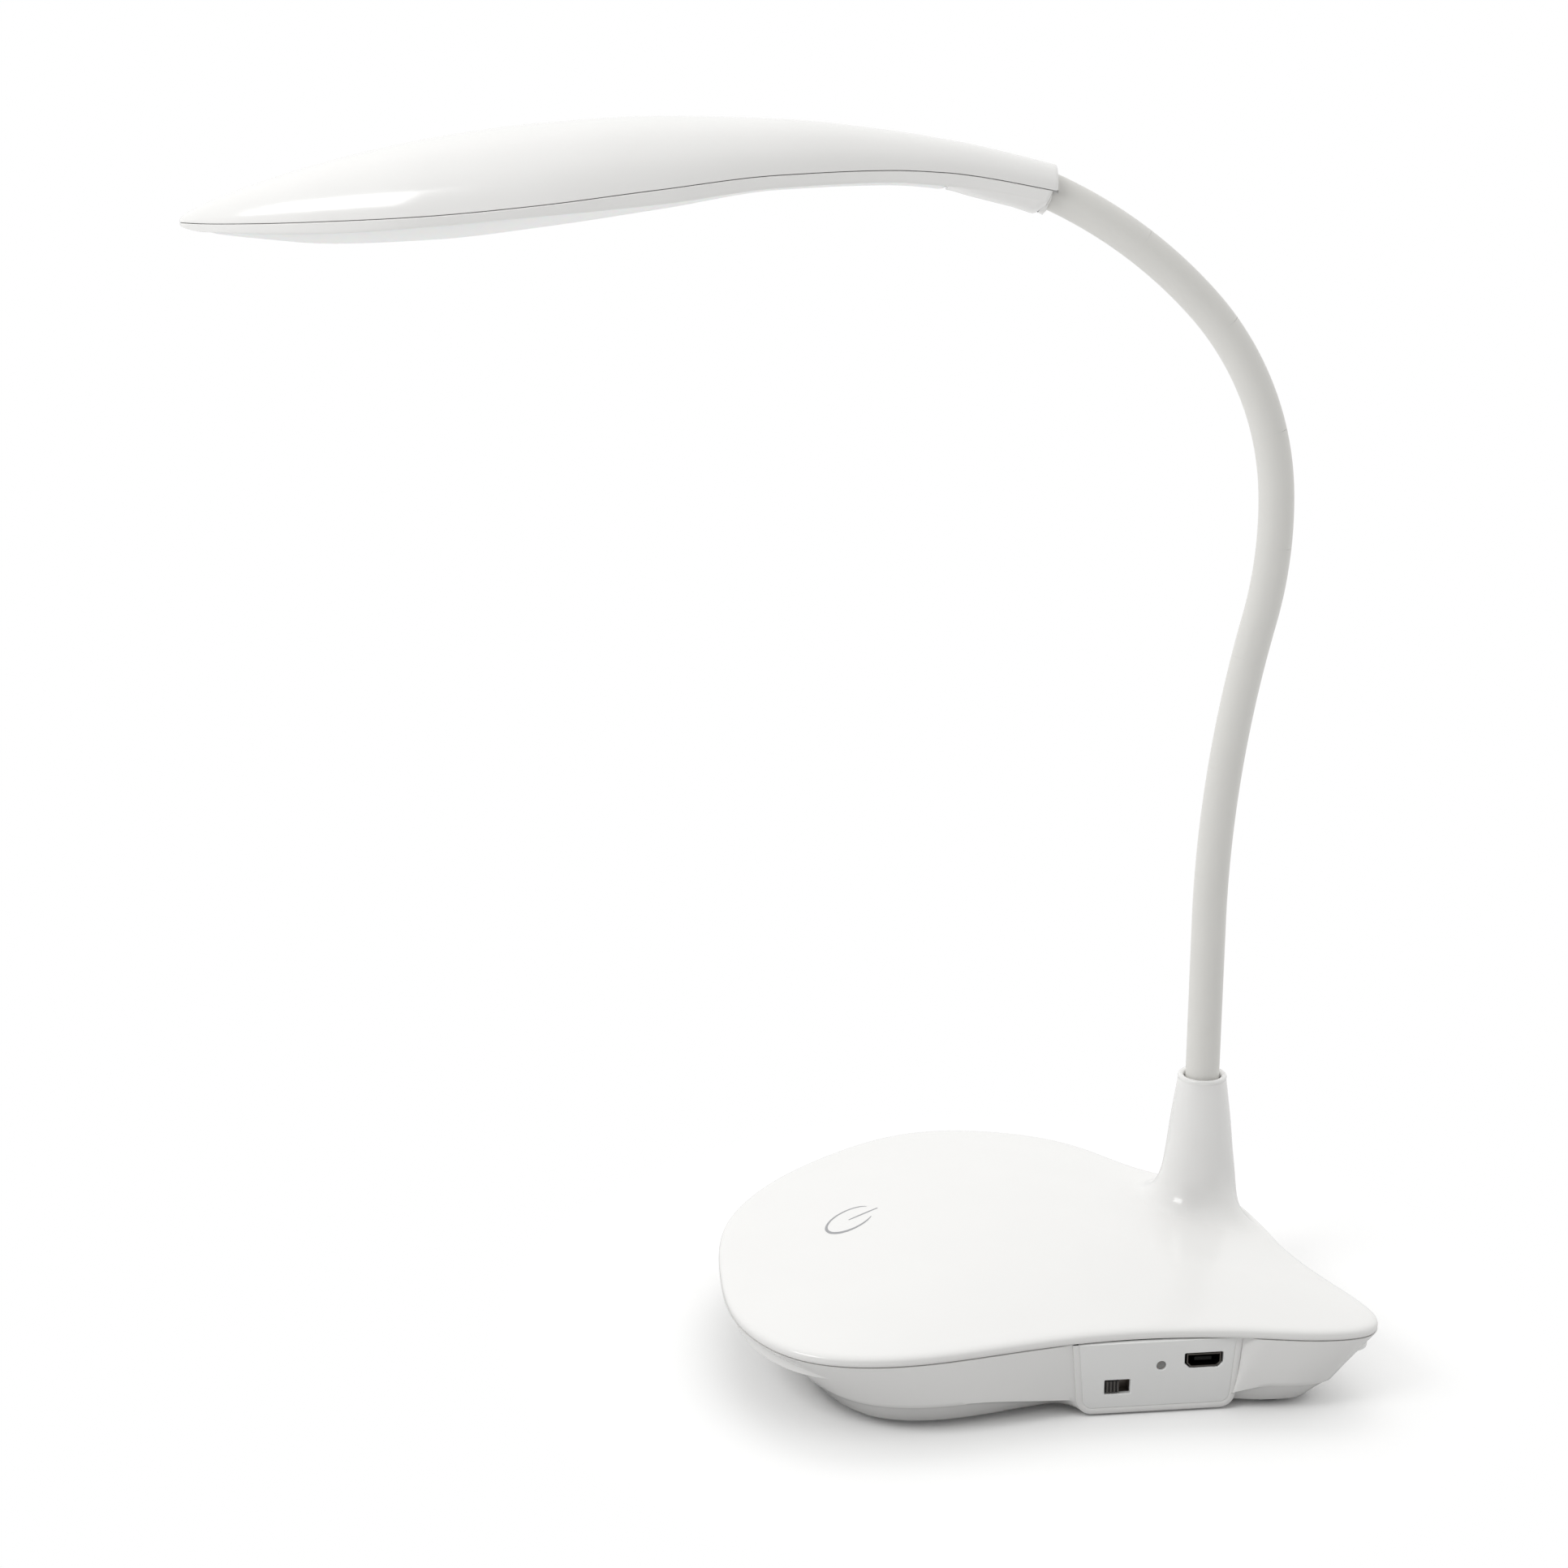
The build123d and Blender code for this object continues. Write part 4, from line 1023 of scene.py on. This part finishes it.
class CopiesTree(NodeTree):
    """Puts a copy of one shape on every point of the input."""

    name = "copies"

    def __init__(self) -> None:
        super().__init__()
        shape = self.node("GeometryNodeObjectInfo")
        spread = self.node("GeometryNodeInstanceOnPoints")
        link = self.tree.links.new
        link(self.entry.outputs["Shape"], shape.inputs["Object"])
        link(self.entry.outputs["Geometry"], spread.inputs["Points"])
        link(shape.outputs["Geometry"], spread.inputs["Instance"])
        self.close(spread.outputs["Instances"])

    def inputs(self) -> None:
        """The shape that is copied."""
        self.socket("Shape", "NodeSocketObject")
        self.socket("Material", "NodeSocketMaterial")


# ---------------------------------------------------------------- neck
@dataclass(frozen=True)
class NeckSizes:
    """Sizes of the gooseneck in millimetres."""

    x: float = 43.0
    y: float = 15.0
    start: float = 52.3
    length: float = 220.5
    tail: float = 9.0
    tail_turn: float = 14.0
    shown: float = 7.7
    sides: int = 72
    step: float = 0.9
    reach: float = 8.0
    root: float = -34.0
    tip: float = 1.5
    turned: int = 6
    course: tuple[tuple[float, float], ...] = (
        (0.165, 0.0), (0.320, -13.4), (0.130, 16.9), (0.205, 39.8), (0.180, 22.2),
    )
    first_joint: float = 10.0
    last_margin: float = 8.5
    joints: int = 9


class Neck:
    """Sleeve of the gooseneck, one piece across each joint."""

    def __init__(self, sizes: NeckSizes) -> None:
        self.sizes = sizes
        step = (sizes.length - sizes.first_joint - sizes.last_margin) / (sizes.joints - 1)
        self.stops = [sizes.first_joint + i * step for i in range(sizes.joints)]

    def point(self, distance: float) -> Vector:
        """Point of the centreline at a distance from the collar."""
        s = self.sizes
        x, z, turn = s.x, s.start, 90.0
        if distance < 0:
            return Vector((x, s.y, z + distance))
        course = [(share * s.length, degrees) for share, degrees in s.course]
        course.append((s.tail, s.tail_turn))
        for length, degrees in course:
            run = min(distance, length)
            bend = math.radians(degrees) * run / length
            chord = run if abs(bend) < 1e-5 else run * math.sin(bend / 2) / (bend / 2)
            middle = math.radians(turn) + bend / 2
            x += chord * math.cos(middle)
            z += chord * math.sin(middle)
            turn += math.degrees(bend)
            distance -= run
            if distance <= 0:
                break
        return Vector((x, s.y, z))

    def sleeve(self, tree: TubeTree, paint: Paint, name: str, start: float, end: float) -> bpy.types.Object:
        """Sweeps one length of sleeve.

        Args:
            tree: the tube's node tree.
            paint: gives the material.
            name: the piece's name.
            start: distance from the collar where it starts.
            end: distance where it ends.

        Returns:
            The sleeve as a plain mesh.
        """
        count = max(4, round((end - start) / self.sizes.step))
        curve = bpy.data.curves.new(name + "_line", "CURVE")
        curve.dimensions = "3D"
        line = curve.splines.new("POLY")
        line.points.add(count)
        for i, point in enumerate(line.points):
            spot = self.point(start + (end - start) * i / count) * MM
            point.co = (*spot, 1.0)
        return tree.run(
            put(name + "_line", curve), name, crease=60.0,
            Radius=self.sizes.shown / 2 * MM, Sides=self.sizes.sides, Material=paint.material(Finish.SLEEVE),
        )

    def build(self, paint: Paint) -> None:
        """Draws every sleeve and bakes it in place.

        A sleeve can be thrown off its place in poses that mix the bends, as the blend is not exact there.
        Naming the sides of one joint in the other order cures it in the poses at the joints' limits only.
        """
        s = self.sizes
        tree = TubeTree()
        ends = [s.root] + [(a + b) / 2 for a, b in zip(self.stops, self.stops[1:])]
        ends.append(s.length + s.tail - s.tip)
        bodies = ["base"] + [f"neck_{i}" for i in range(1, s.joints)] + ["head"]
        for i, stop in enumerate(self.stops):
            obj = self.sleeve(tree, paint, f"sleeve_{i + 1}", ends[i], ends[i + 1])
            near = (bodies[i], self.point(stop - s.reach) * MM)
            far = (bodies[i + 1], self.point(stop + s.reach) * MM)
            one, two = (far, near) if i + 1 == s.turned else (near, far)
            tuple(one[1])
            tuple(two[1])
            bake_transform(obj)
            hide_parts(f"neck_sleeve_{i + 1}")
            if i == 0:
                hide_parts("neck_sleeve_0")


# ---------------------------------------------------------------- head
@dataclass(frozen=True)
class HeadSizes:
    """Sizes of the head in millimetres."""

    x: float = 4.014
    y: float = 15.0
    z: float = 250.672
    length: float = 186.0
    half: float = 20.0
    rise: float = 16.0
    lean: float = 0.93
    ledge: float = 1.0
    gap: float = 0.15
    lens_start: float = 0.125
    lens_end: float = 0.970
    lower_start: float = 0.008


class Head:
    """Slim light head: upper shell, lower frame and frosted lens."""

    STATIONS = (
        (0.998, 0.13, -0.290, -0.362, -0.415, -0.445),
        (0.970, 0.24, -0.13, -0.37, -0.48, -0.50),
        (0.916, 0.475, 0.11, -0.355, -0.49, -0.57),
        (0.825, 0.75, 0.425, -0.31, -0.47, -0.645),
        (0.706, 0.95, 0.725, -0.23, -0.375, -0.59),
        (0.583, 1.0, 0.912, -0.095, -0.24, -0.425),
        (0.448, 0.90, 1.0, 0.10, -0.095, -0.19),
        (0.314, 0.69, 0.963, 0.275, 0.105, 0.055),
        (0.190, 0.47, 0.82, 0.325, 0.165, 0.11),
        (0.125, 0.395, 0.70, 0.29, 0.115, 0.05),
        (0.099, 0.365, 0.645, 0.255, 0.09, -0.03),
        (0.0, 0.30, 0.375, 0.05, -0.10, -0.31),
    )
    START, END = 0.0035, 0.998
    TOP_ROWS, FRAME_ROWS, CLOSED_ROWS, ARC_POINTS = 170, 150, 24, 73
    TIP_START, TIP_RUN, TIP_LEAST = 0.990, 0.0083, 0.02
    LENS_ENDS = (2.2, 5.0)
    LIP, LIP_SHARE = 0.28, 0.1
    CHAMFER, CHAMFER_SHARE = 0.22, 0.08
    CURL, CURL_RUN = 0.7, 0.014
    SLANT, SLANT_RUN = 0.45, 0.05
    SIDE_IN, SIDE_STEPS = 0.05, (0.35, 0.7, 0.94)
    SOFT, ACROSS_STEPS = 0.12, (0.0, 0.06, 0.3, 0.6, 0.9, 1.0)
    FRAME_DEEP = 1.4
    LENS_INSET, LENS_LEAST, LENS_DEEP, LENS_POWER = 0.0006, 0.05, 1.2, 2.2
    LENS_EDGE, LENS_ARC = 0.3, (0.94, 0.0, 14)
    MOUTH, MOUTH_LIFT = (4.0, 4.4), 0.5
    TOP_EDGE = ((0.985, 0.25), (0.95, 0.52), (0.90, 0.64), (0.80, 0.65))
    LOW_EDGE = ((0.97, 0.25), (0.92, 0.4), (0.86, 0.42))
    CREASE = 40.0

    def __init__(self, sizes: HeadSizes) -> None:
        self.sizes = sizes
        rows = np.array(self.STATIONS[::-1])
        self.along = rows[:, 0]
        self.values = rows[:, 1:]

    def section(self, share: float) -> tuple[float, float, float, float, float, float]:
        """x, half width, and heights of the top, seam, lens line and underside at a share of the length."""
        s = self.sizes
        half, top, seam, lens, under = (float(smooth_run(self.along, v, [share])[0]) for v in self.values.T)
        tip = max(0.0, (share - self.TIP_START) / self.TIP_RUN)
        close = math.sqrt(max(0.0, 1 - min(tip, 1.0) ** 2))
        middle = (seam + lens) / 2
        levels = [middle + (v - middle) * (0.5 + 0.5 * close) for v in (top, seam, lens, under)]
        heights = [s.z + v * s.rise for v in levels]
        return (s.x - share * s.length, half * s.half * max(close, self.TIP_LEAST), *heights)

    def lens_half(self, share: float) -> float:
        """Half width of the lens, round at both ends."""
        s = self.sizes
        _, half, *_ = self.section(share)
        full = s.lean * half - s.ledge - s.gap
        near = (share - s.lens_start) * s.length
        far = (s.lens_end - share) * s.length
        if near < 0 or far < 0:
            return 0.0
        for run, reach in zip((near, far), self.LENS_ENDS):
            if run < reach:
                full *= math.sqrt(max(0.0, 1 - (1 - run / reach) ** 2))
        return max(full, 0.0)

    def shares(self, low: float, high: float, count: int) -> Points:
        """Stations, closer together at both ends."""
        t = np.linspace(0, 1, count)
        return low + (high - low) * (0.5 * t + 0.5 * (1 - np.cos(math.pi * t)) / 2)

    def mouth(self, angle: Points) -> Points:
        """Round opening that the sleeve passes, across the collar end."""
        s = self.sizes
        wide, high = self.MOUTH
        return np.column_stack([
            np.full(len(angle), s.x), s.y + wide * np.cos(angle), s.z + high * np.sin(angle)
        ])

    def collar_end(
        self, patch: Patch, row: Row, steps: tuple[tuple[float, float], ...], side: int, lift: float,
        rings_x: Points | float, mouth_x: Points | float, deep: float,
    ) -> None:
        """Rounds off the end of a shell by the collar and draws it in to the mouth.

        Args:
            patch: takes the points.
            row: the shell's first row.
            steps: size of each ring, and how far it stands out.
            side: 1 for the upper half of the mouth, -1 for the lower.
            lift: how far the middle of the rings is above that of the mouth.
            rings_x: where the rings stand out from.
            mouth_x: where the mouth is.
            deep: how far the mouth runs in.
        """
        s = self.sizes
        first = np.array([patch.points[i] for i in row])
        centre = np.array([s.x, s.y, s.z + lift])
        edges = [row]
        for shrink, shift in steps:
            ring = centre + (first - centre) * (1.0, shrink, shrink)
            ring[:, 0] = rings_x + shift
            edges.append(patch.row(ring))
        mouth = self.mouth(side * np.linspace(0, math.pi, len(first)))
        mouth[:, 0] = mouth_x
        edges.append(patch.row(mouth))
        edges.append(patch.row(mouth + (-deep, 0, self.MOUTH_LIFT)))
        patch.sheet(edges)

    def upper(self) -> bpy.types.Object:
        """Draws the upper shell.

        Returns:
            The finished piece.
        """
        s = self.sizes
        patch = Patch()
        angle = np.linspace(0, math.pi, self.ARC_POINTS)
        rows = []
        for share in self.shares(self.START, self.END, self.TOP_ROWS):
            x, half, top, seam, _, _ = self.section(share)
            lip = min(self.LIP, half * self.LIP_SHARE)
            y = half * np.cos(angle)
            z = seam + (top - seam) * np.sin(angle)
            line = np.column_stack([np.full(len(y), x), s.y + y, z])
            left = [(x, s.y - half + lip * 0.25, seam), (x, s.y - half + lip * 3, seam)]
            right = [(x, s.y + half - lip * 3, seam), (x, s.y + half - lip * 0.25, seam)]
            line[0, 2] += lip * 0.5
            line[-1, 2] += lip * 0.5
            rows.append(patch.row(np.vstack([right, line, left])))
        patch.sheet(rows)
        patch.cap(rows[-1])
        self.collar_end(
            patch, rows[0], self.TOP_EDGE, side=1, lift=1.6, rings_x=s.x - 0.65, mouth_x=s.x, deep=1.2
        )
        return patch.build("head_top", (-90, 15, 900), self.CREASE)

    def floor_row(self, share: float, closed_belly: bool) -> Points:
        """Section of the lower shell from its right seam edge down, across and up the left side."""
        s = self.sizes
        x, half, _, seam, lens, under = self.section(share)
        top = seam - s.gap
        low_half = s.lean * half
        chamfer = min(self.CHAMFER, half * self.CHAMFER_SHARE)
        open_share = max(0.0, 1 - (share - s.lower_start) / self.CURL_RUN)
        curl = math.sqrt(max(0.0, 1 - open_share**2 * self.CURL))
        side = [(half - 3 * chamfer, top), (half - chamfer, top), (half - self.SIDE_IN, top - chamfer)]
        edge, fall = top - chamfer, lens - top + chamfer
        side += [(half + (low_half - half) * t, edge + fall * t) for t in self.SIDE_STEPS]
        across = []
        inner = 0.0 if closed_belly else self.lens_half(share) + s.gap * (self.lens_half(share) > 0)
        for t in self.ACROSS_STEPS:
            y = (low_half - self.SOFT) * (1 - t) + inner * t
            drop = (lens - under) * (1 - (y / max(low_half, 1e-3)) ** 2) * curl if closed_belly else 0.0
            across.append((y, lens - drop))
        across.append((inner, across[-1][1] + (0.0 if closed_belly else self.FRAME_DEEP)))
        right = side + across
        slant = self.SLANT * max(0.0, 1 - share / self.SLANT_RUN) if closed_belly else 0.0
        run = [(x - slant * (seam - z), y, z) for y, z in right]
        return np.array([(x, s.y + y, z) for x, y, z in run] + [(x, s.y - y, z) for x, y, z in reversed(run)])

    def lower(self) -> bpy.types.Object:
        """Draws the frame round the lens and the closed end by the collar.

        Returns:
            The finished piece.
        """
        s = self.sizes
        patch = Patch()
        framed = [patch.row(self.floor_row(t, False))
                  for t in self.shares(s.lens_start, self.END, self.FRAME_ROWS)]
        half = len(framed[0]) // 2
        for one, two in zip(framed, framed[1:]):
            patch.band(one[:half], two[:half])
            patch.band(one[half:], two[half:])
        patch.cap(framed[-1])
        closed = [patch.row(self.floor_row(t, True))
                  for t in self.shares(s.lower_start, s.lens_start, self.CLOSED_ROWS)]
        patch.sheet(closed)
        patch.sheet([closed[-1], framed[0]])
        edge = np.array([patch.points[i][0] for i in closed[0]])
        self.collar_end(
            patch, closed[0], self.LOW_EDGE, side=-1, lift=0.0, rings_x=edge, mouth_x=edge + 0.3, deep=1.0
        )
        return patch.build("head_bottom", (-90, 15, -900), self.CREASE)

    def lens(self) -> bpy.types.Object:
        """Draws the frosted lens with its rounded rim.

        Returns:
            The finished piece.
        """
        s = self.sizes
        patch = Patch()
        rows = []
        start, end = s.lens_start + self.LENS_INSET, s.lens_end - self.LENS_INSET
        for share in self.shares(start, end, self.FRAME_ROWS):
            x, half, _, _, lens, under = self.section(share)
            wide = max(self.lens_half(share), self.LENS_LEAST)
            full = max(s.lean * half - s.ledge - s.gap, wide)
            soft = min(self.SOFT, wide * self.LENS_EDGE)
            run = [(wide, lens + self.LENS_DEEP), (wide, lens + self.SOFT), (wide - soft, lens)]
            for t in np.linspace(*self.LENS_ARC):
                y = wide * t
                run.append((y, lens - (lens - under) * (1 - t**self.LENS_POWER) * (wide / full)))
            line = [(x, s.y + y, z) for y, z in run] + [(x, s.y - y, z) for y, z in reversed(run[:-1])]
            rows.append(patch.row(np.array(line)))
        patch.sheet(rows)
        patch.cap(rows[0])
        patch.cap(rows[-1])
        return patch.build("lens", (-90, 15, -900), self.CREASE)

    def build(self, paint: Paint) -> None:
        """Draws and dresses the head."""
        for obj, finish, node, slot in (
            (self.upper(), Finish.SHELL, "head_top_shell", "shell"),
            (self.lower(), Finish.SHELL, "head_lower_shell", "shell"),
            (self.lens(), Finish.DIFFUSER, "diffuser_lens", "diffuser"),
        ):
            paint.coat(obj, finish)
            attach(obj, "head")
            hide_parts(node)


# ---------------------------------------------------------------- small parts
class SwitchKnob:
    """Black slide knob with raised ribs."""

    WIDE, HIGH, RIBS = 3.0, 2.7, 4
    SPOT = (-9.5, -10.2)

    def __init__(self, panel: Panel) -> None:
        self.panel = panel

    def block(self, wide: float, high: float, front: float, back: float, round_off: float) -> Patch:
        """Box with softened front edges, in the panel's plane about its own middle."""
        patch = Patch()
        rings = []
        soft = round_off * 0.3
        for inset, depth in ((0.0, back), (0.0, front + round_off), (soft, front + soft), (round_off, front)):
            w, h = wide / 2 - inset, high / 2 - inset
            loop = SocketPlate.box(w, h, round_off, steps=4)
            rings.append(patch.row(np.column_stack([loop, np.full(len(loop), -depth)])))
        patch.sheet(rings, closed=True)
        patch.cap(rings[-1])
        patch.cap(rings[0])
        return patch

    def placed(self, patch: Patch, a: float, v: float) -> Patch:
        """Moves a patch from its own plane to its place on the panel."""
        place, seam = self.panel.place, self.panel.seam
        patch.points = [tuple(place(a + u, v + w + seam, -d)) for u, w, d in patch.points]
        return patch

    def build(self, paint: Paint) -> None:
        """Draws the block and spreads its ribs over it."""
        body = self.block(self.WIDE, self.HIGH, front=0.45, back=3.0, round_off=0.12)
        block = self.placed(body, *self.SPOT).build("knob_block", (25, -900, 8), crease=30.0)
        rib = self.block(wide=0.34, high=self.HIGH - 0.1, front=0.1, back=0.8, round_off=0.08)
        turned = self.placed(rib, 0.0, -self.panel.seam)
        turned.points = [tuple(np.array(p) - self.panel.place(0.0, 0.0, 0.0)) for p in turned.points]
        shape = turned.build("knob_rib", (0, -900, 0), crease=30.0)
        spots = bpy.data.meshes.new("rib_spots")
        places = [(i - (self.RIBS - 1) / 2) * self.WIDE / self.RIBS for i in range(self.RIBS)]
        height = self.SPOT[1] + self.panel.seam
        points = [self.panel.place(self.SPOT[0] + a, height, 0.0) * MM for a in places]
        spots.from_pydata([tuple(p) for p in points], [], [])
        maker = put("rib_spots", spots)
        ribs = CopiesTree().run(maker, "knob_ribs", 30.0, Shape=shape, Material=paint.material(Finish.BLACK))
        bpy.data.objects.remove(shape)
        # The ribs get a lighter finish than the block: a painted highlight on the ribs.
        for obj, finish in ((block, Finish.BLACK), (ribs, Finish.RIB_PAINTED_HIGHLIGHT)):
            paint.coat(obj, finish)
            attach(obj, "switch")
        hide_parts("switch_knob")


class Base:
    """The whole base: shells, plate, mark and knob."""

    def __init__(self) -> None:
        self.rim = Rim(BaseSizes())
        self.panel = Panel(PanelSizes(), self.rim.sizes.seam)

    def build(self, paint: Paint) -> None:
        """Draws and dresses the base."""
        for obj, finish, node, slot in (
            (TopShell(self.rim).build(), Finish.SHELL, "base_top_shell", "shell"),
            (BottomShell(self.rim, self.panel).build(), Finish.SHELL, "base_bottom_shell", "shell"),
            (SocketPlate(self.panel).build(), Finish.PANEL, "io_plate", "shell"),
            (TouchMark(self.rim).build(), Finish.MARK, None, "shell"),
        ):
            paint.coat(obj, finish)
            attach(obj, "base")
            if node:
                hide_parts(node)
        SwitchKnob(self.panel).build(paint)


class Insides:
    """Finishes of the solids that keep their own shape."""

    FINISHES = {
        # The charging port, its tongue and the light pipe get finishes darkened with painted shade of their
        # recesses.
        "rubber_feet": Finish.RUBBER, "usb_shell": Finish.PORT_PAINTED_SHADE, "usb_tongue": Finish.SOCKET,
        "switch_body": Finish.SWITCH, "indicator_led": Finish.LIGHT_PIPE_PAINTED_SHADE, "root_ferrule": Finish.STEEL,
        "root_nut": Finish.BRASS, "base_screws": Finish.STEEL, "ballast_plate": Finish.STEEL,
        "battery_cell": Finish.FOIL, "base_board": Finish.BOARD, "board_standoffs": Finish.BRASS,
        "touch_electrode": Finish.COPPER, "head_ferrule": Finish.STEEL, "led_board": Finish.WHITE_BOARD,
        "led_screws": Finish.STEEL, "leds": Finish.PHOSPHOR,
    }

    def build(self, paint: Paint) -> None:
        """Lays a finish on every carried-over solid."""
        for name, obj in frame["nodes"].items():
            finish = self.FINISHES.get(name, Finish.STEEL if name.startswith("neck_core") else None)
            if finish is not None:
                paint.coat(obj, finish)


# ---------------------------------------------------------------- light, floor, camera
class Studio:
    """White floor, soft light and the camera."""

    LENS = 61.49
    SENSOR = 36.0
    EYE = (-0.05353, -0.56475, 0.27669)
    TILT = 75.0

    def world(self) -> None:
        """White to the camera, and a soft tent of light that is dimmer from the front."""
        world = bpy.data.worlds.new("tent")
        bpy.context.scene.world = world
        tree = Shading(world)
        out = tree.node("OutputWorld")
        sky = tree.node("Background", {"Color": (1.0, 1.0, 0.992, 1)})
        plain = tree.node("Background", {"Color": (1, 1, 1, 1)})
        mix = tree.node("MixShader")
        path = tree.node("LightPath")
        where = tree.node("TexCoord")
        split = tree.node("SeparateXYZ")
        ramp = tree.node(
            "MapRange", {"From Min": -1.0, "From Max": -0.28, "To Min": 0.16, "To Max": 0.93},
            interpolation_type="SMOOTHSTEP",
        )
        tree.link(
            (where.outputs["Generated"], split.inputs["Vector"]),
            (split.outputs["Y"], ramp.inputs["Value"]),
            (ramp.outputs["Result"], sky.inputs["Strength"]),
            (path.outputs["Is Camera Ray"], mix.inputs["Fac"]),
            (sky.outputs["Background"], mix.inputs[1]),
            (plain.outputs["Background"], mix.inputs[2]),
            (mix.outputs["Shader"], out.inputs["Surface"]),
        )

    def lamp(self, name: str, spot: tuple[float, float, float], aim: tuple[float, float, float],
             size: tuple[float, float], power: float, mirrored: bool = True) -> None:
        """Adds one soft box.

        Args:
            name: the light's name.
            spot: where it is, in metres.
            aim: where it looks.
            size: its two sides, in metres.
            power: its strength in watts.
            mirrored: whether glossy surfaces show it.
        """
        light = bpy.data.lights.new(name, "AREA")
        light.shape = "RECTANGLE"
        light.size, light.size_y = size
        light.energy = power
        obj = put(name, light)
        obj.location = spot
        obj.visible_glossy = mirrored
        obj.rotation_euler = (Vector(aim) - Vector(spot)).to_track_quat("-Z", "Y").to_euler()

    def floor(self) -> None:
        """Pale floor that reads as the white background and keeps the shadow."""
        mesh = bpy.data.meshes.new("floor")
        side = 6.0
        corners = [(-side, -side, 0), (side, -side, 0), (side, side, 0), (-side, side, 0)]
        mesh.from_pydata(corners, [], [(0, 1, 2, 3)])
        obj = put("floor", mesh)
        made = bpy.data.materials.new("floor")
        tree = Shading(made)
        out = tree.node("OutputMaterial")
        matt = tree.node("BsdfDiffuse")
        glow = tree.node("Emission")
        both = tree.node("MixShader")
        path = tree.node("LightPath")
        where = tree.node("TexCoord")
        reach = tree.node("VectorMath", operation="LENGTH")
        fade = tree.node(
            "MapRange", {"From Min": 0.07, "From Max": 0.122, "To Min": 0.02}, interpolation_type="SMOOTHSTEP"
        )
        level = tree.node("Math", operation="MULTIPLY")
        tone = tree.node("Mix", {7: (1.0, 1.0, 1.0, 1)}, data_type="RGBA")
        bounce = tree.node("MapRange", {"From Min": 0.07, "From Max": 0.30, "To Min": 0.60, "To Max": 0.86})
        tree.link(
            (where.outputs["Object"], reach.inputs[0]),
            (reach.outputs["Value"], fade.inputs["Value"]),
            (reach.outputs["Value"], bounce.inputs["Value"]),
            (bounce.outputs["Result"], tone.inputs[6]),
            (fade.outputs["Result"], level.inputs[0]),
            (path.outputs["Is Camera Ray"], level.inputs[1]),
            (path.outputs["Is Camera Ray"], tone.inputs[0]),
            (tone.outputs[2], matt.inputs["Color"]),
            (level.outputs["Value"], both.inputs["Fac"]),
            (matt.outputs["BSDF"], both.inputs[1]),
            (glow.outputs["Emission"], both.inputs[2]),
            (both.outputs["Shader"], out.inputs["Surface"]),
        )
        mesh.materials.append(made)

    def camera(self) -> None:
        """Camera at its place, tilted down at the lamp."""
        lens = bpy.data.cameras.new("camera")
        lens.lens = self.LENS
        lens.sensor_width = self.SENSOR
        lens.clip_start, lens.clip_end = 0.01, 50.0
        obj = put("camera", lens)
        obj.location = self.EYE
        obj.rotation_euler = (math.radians(self.TILT), 0.0, 0.0)
        bpy.context.scene.camera = obj

    def build(self) -> None:
        """Sets up the whole studio."""
        self.world()
        self.floor()
        self.lamp(
            "top_box", spot=(0.05, 0.60, 0.95), aim=(0.0, 0.0, 0.1), size=(0.8, 0.6), power=2.0,
            mirrored=False,
        )
        self.lamp("head_box", spot=(-0.42, -0.28, 0.50), aim=(-0.16, 0.0, 0.26), size=(0.30, 0.20), power=1.0)
        self.camera()
        bpy.context.scene.view_settings.view_transform = "Standard"


def main() -> None:
    """Builds the lamp round its frame."""
    logging.basicConfig(level=logging.INFO, format="%(message)s")
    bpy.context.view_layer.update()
    Studio().build()
    LOG.info("studio is ready")
    paint = Paint()
    Insides().build(paint)
    Base().build(paint)
    LOG.info("base is built")
    Neck(NeckSizes()).build(paint)
    LOG.info("neck is built")
    Head(HeadSizes()).build(paint)
    LOG.info("head is built")


if __name__ == "__main__":
    main()
